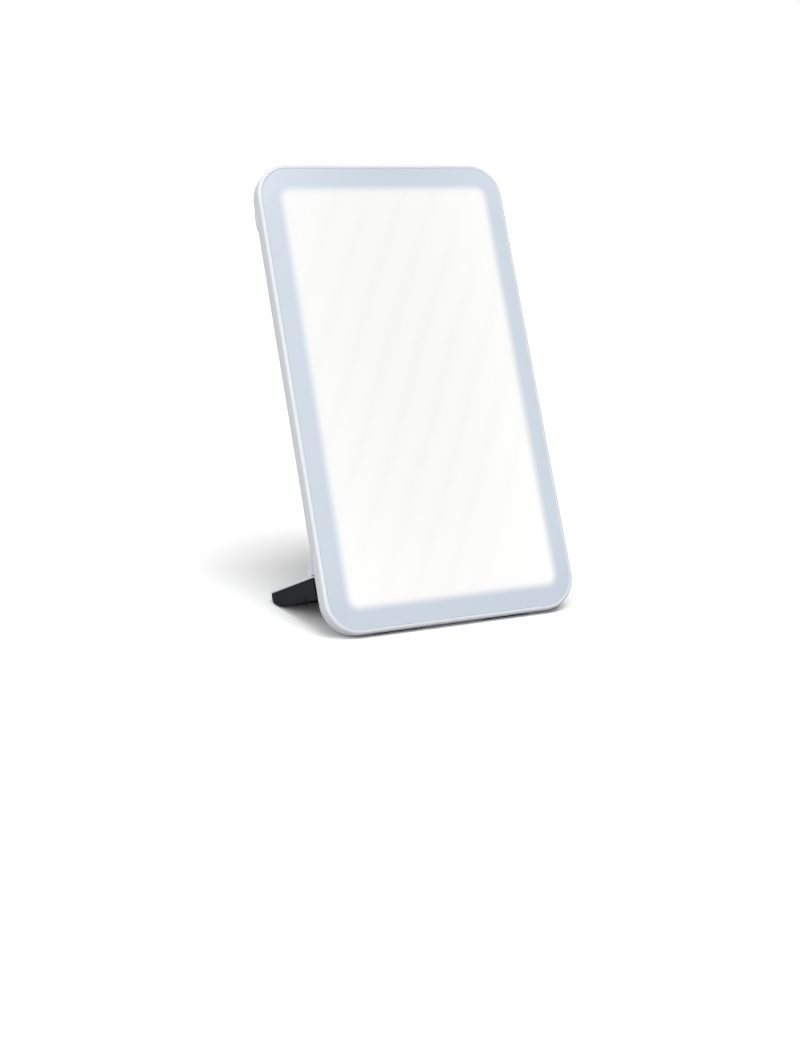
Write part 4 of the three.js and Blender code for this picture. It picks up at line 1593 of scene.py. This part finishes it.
@dataclass
class Hinge:
    """The hinge: knuckles on the case and on the foot, and pins."""

    panel: Panel
    foot: FootSizes
    radius: float = 3.3
    gap: float = 0.4
    stand: float = 2.9
    case_length: float = 16.0
    foot_length: float = 40.0
    fairing: float = 8.2
    neck: float = 9.0
    pin: float = 1.1
    pin_play: float = 0.3
    blind: float = 2.0
    sleeve_wall: float = 0.5
    sleeve_length: float = 16.0
    sleeve_setback: float = 2.4
    edge: float = 0.45
    pin_chamfer: float = 0.25

    @property
    def axis(self) -> tuple[float, float]:
        """The depth and height of the hinge's axis."""
        depth = self.panel.depth + self.stand + self.radius
        return depth, self.foot.top(depth) + self.gap + self.radius

    @staticmethod
    def _span(side: Side, inner: float, outer: float) -> tuple[float, float]:
        """A stretch along x on one side, with its lower end first."""
        first, second = sorted((side.value * inner, side.value * outer))
        return first, second

    @property
    def case_inner(self) -> float:
        """Where the case knuckle starts, from the middle."""
        return self.foot.half_width - self.case_length

    @property
    def foot_inner(self) -> float:
        """Where the foot knuckle starts, from the middle."""
        return self.case_inner - self.gap - self.foot_length

    def _tangent(self, depth: float, height: float, turn: int) -> float:
        """The angle on the knuckle where a straight line from an outside point touches it."""
        run, rise = depth - self.axis[0], height - self.axis[1]
        return math.atan2(rise, run) + turn * math.acos(self.radius / math.hypot(run, rise))

    def case_knuckle(self, side: Side) -> BMesh:
        """A case knuckle with the fairing that runs up the back.

        Args:
            side: The side it is on.

        Returns:
            A closed mesh.
        """
        depth, height = self.axis
        top, back = height + self.fairing, self.panel.depth
        touch = self._tangent(back, top, -1)
        outline = Outline(back - OVERRUN, height - self.radius).line((depth, height - self.radius))
        outline.arc(depth, height, touch + math.pi / 2)
        outline.line((back, top), (back - OVERRUN, top))
        span = self._span(side, self.case_inner, self.foot.half_width)
        return self._knuckle(outline, span, lambda at: at.y > back - TINY)

    def foot_knuckle(self, side: Side) -> BMesh:
        """A foot knuckle with its neck down to the top plate.

        Args:
            side: The side it is on.

        Returns:
            A closed mesh.
        """
        depth, height = self.axis
        base = self.foot.top(depth) - self.foot.top_thickness / 2
        heel = depth + self.neck
        touch = self._tangent(heel, base, 1)
        outline = Outline(depth - self.radius, base).line((heel, base))
        outline.line((depth + self.radius * math.cos(touch), height + self.radius * math.sin(touch)))
        outline.arc(depth, height, math.pi - touch)
        span = self._span(side, self.foot_inner, self.case_inner - self.gap)
        return self._knuckle(outline, span, lambda at: at.z > base + TINY)

    def _knuckle(self, outline: Outline, span: tuple[float, float], free: Callable[[Vector], bool]) -> BMesh:
        """Carries a knuckle across and rounds its ends where it stands free.

        Args:
            outline: The knuckle's section.
            span: Its ends along x.
            free: Takes a point and says whether the knuckle stands free there.

        Returns:
            A closed mesh.
        """
        mold = outline.across(span)
        return rounded_where(
            mold, lambda at: min(abs(at.x - end) for end in span) < TINY and free(at), self.edge, SMALL_STEPS
        )

    def _rod(self, span: tuple[float, float], radius: float, chamfer: float = 0.0) -> BMesh:
        """A rod on the hinge's axis.

        Args:
            span: Its ends along x.
            radius: Its radius.
            chamfer: The chamfer at both ends.

        Returns:
            A closed mesh.
        """
        depth, height = self.axis
        place = Matrix.Translation((0, depth, height)) @ ALONG_X
        profile = [(0, span[0]), (radius - chamfer, span[0])]
        if chamfer:
            profile += [(radius, span[0] + chamfer), (radius, span[1] - chamfer)]
        return turned([*profile, (radius - chamfer, span[1]), (0, span[1])], place)

    def pin_hole(self, side: Side) -> BMesh:
        """The blind hole for a pin in a case knuckle.

        Args:
            side: The side it is on.

        Returns:
            A closed mesh.
        """
        span = self._span(side, self.case_inner - OVERRUN, self.foot.half_width - self.blind)
        return self._rod(span, self.pin + self.pin_play)

    def foot_bores(self, side: Side) -> list[BMesh]:
        """The pin's hole through a foot knuckle and the wider one for its sleeve.

        Args:
            side: The side they are on.

        Returns:
            The closed meshes.
        """
        start, play = self.foot_inner - OVERRUN, self.pin + self.pin_play
        reach = self.foot_inner + self.sleeve_setback + self.sleeve_length + self.pin_play
        return [
            self._rod(self._span(side, start, self.case_inner), play),
            self._rod(self._span(side, start, reach), play + self.sleeve_wall + self.pin_play),
        ]

    def build(self, shop: Workshop) -> None:
        """Makes the pins.

        Args:
            shop: Finishes them.
        """
        outer = self.foot.half_width - self.blind - self.pin_play
        for side in Side:
            span = self._span(side, self.foot_inner + self.pin_play, outer)
            rod = self._rod(span, self.pin, self.pin_chamfer)
            shop.piece(rod, f"hinge_rod_{side.word}", Body.CASE, "screw_steel", f"hinge_pin_{side.word}")


@dataclass
class Foot:
    """The folding foot: a white top plate on a charcoal sole with a rubber strip."""

    sizes: FootSizes
    hinge: Hinge
    screws: Screws
    stance: Stance
    edge: float = 0.45
    sole_edge: float = 3.0
    sole_top_edge: float = 0.5
    nose_edge: float = 0.2
    groove_reach: float = 24.6
    groove_width: float = 4.5
    groove_run: float = 13.5
    groove_depth: float = 4.6
    groove_edge: float = 0.5
    groove_wall: float = 5.0
    screw_inset: float = 31.8
    cavity_screw_gap: float = 7.0
    knee_screw_gap: float = 11.0
    screw_sink: float = 1.6
    screw_turn: float = math.radians(29)
    screw_tip_gap: float = 0.8
    seat_gap: float = 0.3
    seat_reach: float = 7.6
    strip_edge: float = 0.3

    def build(self, shop: Workshop) -> None:
        """Makes the foot's pieces.

        Args:
            shop: Finishes them.
        """
        shop.piece(self._top(), "foot_top_plate", Body.FOOT, "white_shell", "foot_top")
        shop.piece(self._sole(), "foot_sole_body", Body.FOOT, "charcoal_shell", "foot_sole")
        strip = self.stance.node_block("foot_pad", 0)
        rounded(strip, strip.edges[:], self.strip_edge, LEAST_STEPS)
        shop.piece(strip, "foot_rubber", Body.FOOT, "pad_rubber", "foot_pad")
        places = self._screw_places()
        length = min(
            self.sizes.sole_top(depth) - self.screw_tip_gap - self._seat(depth) for _, depth in places
        )
        for number, (x, depth) in enumerate(places, 1):
            turn = HEAD_DOWN @ Matrix.Rotation(number * self.screw_turn, 4, "Y")
            screw = self.screws.mold(Matrix.Translation((x, depth, self._seat(depth))) @ turn, length)
            shop.piece(screw, f"foot_screw_head_{number}", Body.FOOT, "screw_steel", f"foot_screw_{number}")

    def _seat(self, depth: float) -> float:
        """The height of the underside of a screw's head."""
        return self.sizes.bottom(depth) + self.screw_sink - self.seat_gap

    def _screw_places(self) -> list[tuple[float, float]]:
        """Where the foot screws go: x and depth.

        Returns:
            The places.
        """
        wall = self.sizes.root + self.groove_reach + self.groove_width + self.groove_wall
        depths = (wall + self.cavity_screw_gap, self.sizes.knee - self.knee_screw_gap)
        x = self.sizes.half_width - self.screw_inset
        return [(side.value * x, depth) for side in Side for depth in depths]

    def _top(self) -> BMesh:
        """The top plate with its two knuckles.

        Returns:
            A closed mesh.
        """
        sizes = self.sizes
        thick, nose, root = sizes.top_thickness, sizes.nose, sizes.root
        plate = Outline(root, sizes.top(root)).line(
            (root, sizes.top(root) - thick), (nose, sizes.top(nose) - thick), (nose, sizes.top(nose)),
        ).across((-sizes.half_width, sizes.half_width))
        rounded(plate, self._along_height(plate, nose), sizes.corner, CORNER_STEPS)
        rounded_where(plate, lambda at: abs(at.z - sizes.top(at.y)) < TINY, self.edge, SMALL_STEPS)
        plate = worked(plate, [self.hinge.foot_knuckle(side) for side in Side], Join.ADD)
        return worked(plate, [bore for side in Side for bore in self.hinge.foot_bores(side)], Join.CUT)

    @staticmethod
    def _along_height(mold: BMesh, depth: float) -> list[BMEdge]:
        """The upright edges at a depth.

        Args:
            mold: The mesh to search.
            depth: How far back the edges are, at least.

        Returns:
            The edges.
        """
        return [
            edge for edge in edges_where(mold, lambda at: at.y > depth - TINY)
            if abs(edge.verts[0].co.x - edge.verts[1].co.x) < TINY
        ]

    def _sole(self) -> BMesh:
        """The charcoal body with its groove, screw seats and pad pocket.

        Returns:
            A closed mesh.
        """
        cutters = [self._groove_cutter(), self.stance.node_block("foot_pad", self.seat_gap)]
        cutters.extend(self._seat_cutter(x, depth) for x, depth in self._screw_places())
        return worked(self._sole_blank(), cutters, Join.CUT)

    def _sole_blank(self) -> BMesh:
        """The sole before it is cut: its root section, drawn out station by station to the nose.

        Returns:
            A closed mesh.
        """
        sizes = self.sizes
        depth, half = sizes.root, sizes.half_width
        low, tall = sizes.bottom(depth), sizes.sole_top(depth) - sizes.bottom(depth)
        mold = flat_face(2 * half, tall)
        for sign, radius in ((1, self.sole_top_edge), (-1, self.sole_edge)):
            corners = [vertex for vertex in mold.verts if abs(vertex.co.y - sign * tall / 2) < TINY]
            eased(mold, corners, radius, EDGE_STEPS)
        moved(mold, Matrix.Translation((0, depth, low + tall / 2)) @ UPRIGHT)
        cap = mold.faces[:]
        for far, narrow in sizes.stations()[1:]:
            inner, cap = cap, extruded(mold, cap, Vector((0, far - depth, 0)))
            if depth > sizes.root:
                bmesh.ops.delete(mold, geom=[face for face in inner if face.is_valid], context="FACES_ONLY")
            bottom = sizes.bottom(far)
            high = sizes.sole_top(far) - bottom
            grow = Matrix.Diagonal((narrow / half, 1, high / tall, 1))
            fit = Matrix.Translation((0, 0, bottom)) @ grow @ Matrix.Translation((0, 0, -low))
            corners = list({vertex for face in cap for vertex in face.verts})
            bmesh.ops.transform(mold, matrix=fit, verts=corners)
            depth, half, low, tall = far, narrow, bottom, high
        return rounded_where(closed(mold), lambda at: at.y > depth - TINY, self.nose_edge, LEAST_STEPS)

    def _groove_cutter(self) -> BMesh:
        """The slanted groove across the underside, with its lips eased.

        Returns:
            A closed mesh.
        """
        bottom, ease = self.sizes.bottom, self.groove_edge
        front = self.sizes.root + self.groove_reach
        back, tip, below = front + self.groove_width, front - self.groove_run, 2 * OVERRUN
        outline = Outline(front - ease, bottom(front) - below).line(
            (back + ease, bottom(back) - below), (back + ease, bottom(back)),
            (back, bottom(back) + ease / 2), (tip, bottom(tip) + self.groove_depth),
            (front, bottom(front) + ease / 2), (front - ease, bottom(front)),
        )
        reach = self.sizes.half_width + OVERRUN
        return outline.across((-reach, reach))

    def _seat_cutter(self, x: float, depth: float) -> BMesh:
        """A foot screw's counterbore and the hole for its shank."""
        place = Matrix.Translation((x, depth, self.sizes.bottom(depth))) @ HEAD_DOWN
        return self.screws.seat(place, self.seat_gap, self.screw_sink, self.groove_edge, self.seat_reach)


@dataclass
class Inside:
    """The sealed inner pieces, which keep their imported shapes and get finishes."""

    slots: dict[str, str]

    def dress(self, frame_nodes: dict[str, Object], palette: Palette) -> None:
        """Gives each node that still shows its finish.

        Args:
            frame_nodes: The frame's nodes by name.
            palette: Makes the finishes.
        """
        for name, node in frame_nodes.items():
            if node.hide_render:
                continue
            node.data.materials.clear()
            node.data.materials.append(palette.of(self.slots[name]))
            LOG.info("%s keeps its packed shape, finished as %s", name, self.slots[name])


@dataclass(frozen=True)
class Sun:
    """A broad, soft light from far away."""

    name: str
    turn: float
    height: float
    spread: float
    strength: float

    def shine(self) -> None:
        """Adds the light, aimed by its turn to the left of straight ahead and its height over the floor."""
        data = bpy.data.lights.new(self.name, "SUN")
        data.angle = self.spread
        data.energy = self.strength
        item = bpy.data.objects.new(self.name, data)
        item.rotation_euler = (math.pi / 2 - self.height, 0, -self.turn)
        bpy.context.scene.collection.objects.link(item)


@dataclass(frozen=True)
class Studio:
    """The floor, the light and the camera."""

    focal_pixels: float = 1594.3
    camera_place: tuple[float, float, float] = (-0.5254, -1.0846, 0.3338)
    camera_turn: float = math.radians(-25.35)
    camera_dip: float = math.radians(12.75)
    floor_size: float = 40.0
    floor_light: float = 0.5
    floor_seen: float = 1.25
    sky_strength: float = 0.13
    sky_seen: float = 1.03
    suns: tuple[Sun, ...] = (
        Sun("front_light", 0.0, math.radians(60), math.radians(40), 2.23),
        Sun("side_light", math.radians(60), math.radians(25), math.radians(70), 1.81),
    )

    def camera(self) -> None:
        """Puts the camera where the photograph was taken from."""
        data = bpy.data.cameras.new("camera")
        data.lens = self.focal_pixels / IMAGE_LONG_SIDE * SENSOR
        data.sensor_width = SENSOR
        item = bpy.data.objects.new("camera", data)
        item.location = self.camera_place
        item.rotation_euler = (math.pi / 2 - self.camera_dip, 0, self.camera_turn)
        bpy.context.scene.collection.objects.link(item)
        bpy.context.scene.camera = item

    def light(self, stance: Stance) -> None:
        """Lights the lamp and lays the floor.

        Args:
            stance: How the panel stands, for the floor's material.
        """
        self._sky()
        for sun in self.suns:
            sun.shine()
        self._floor(stance)

    def _sky(self) -> None:
        """An even sky, plain white to the camera and in reflections."""
        world = bpy.data.worlds.new("sky")
        world.use_nodes = True
        recipe = Recipe(world.node_tree)
        seen = recipe.seen()
        back = world.node_tree.nodes["Background"]
        back.inputs["Color"].default_value = WHITE
        recipe.feed(back, "Strength", self.sky_strength + seen * (self.sky_seen - self.sky_strength))
        bpy.context.scene.world = world

    def _floor(self, stance: Stance) -> None:
        """A pale floor that shows white where it is open, and keeps the lamp's shadow.

        Args:
            stance: The panel's stance, which every finish is opened with.
        """
        floor = as_object(flat_face(self.floor_size, self.floor_size), "floor")
        recipe = Finish("pale_floor", stance)
        recipe.tree.nodes.remove(recipe.tree.nodes["Principled BSDF"])
        shade = recipe.seen() * (self.floor_seen - self.floor_light) + self.floor_light
        matt = recipe.node("ShaderNodeBsdfDiffuse", None, {"Color": shade})
        recipe.tree.links.new(matt.outputs[0], recipe.tree.nodes["Material Output"].inputs["Surface"])
        floor.data.materials.append(recipe.material)


def main() -> None:
    """Builds the lamp's pieces round the frame and lights them."""
    logging.basicConfig(level=logging.INFO, format="%(name)s: %(message)s")
    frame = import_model()
    bpy.context.scene.view_settings.view_transform = "Standard"

    panel = Panel()
    stance = Stance.of_frame(panel)
    studio = Studio()
    studio.camera()
    studio.light(stance)

    palette = Palette(stance)
    shop = Workshop(stance, palette)
    screws, sizes = Screws(), FootSizes(-stance.origin[2] / MM, panel.lean)
    hinge, button = Hinge(panel, sizes), Button(panel)
    Front(panel).build(shop)
    Rear(panel, screws, hinge, button).build(shop)
    button.build(shop)
    hinge.build(shop)
    Foot(sizes, hinge, screws, stance).build(shop)
    slots = {part["node"]: part["material_slot"] for part in frame["record"]["subparts"]}
    Inside(slots).dress(frame["nodes"], palette)
    LOG.info("%d pieces made, %d nodes in the frame", len(shop.made), len(frame["nodes"]))


if __name__ == "__main__":
    main()
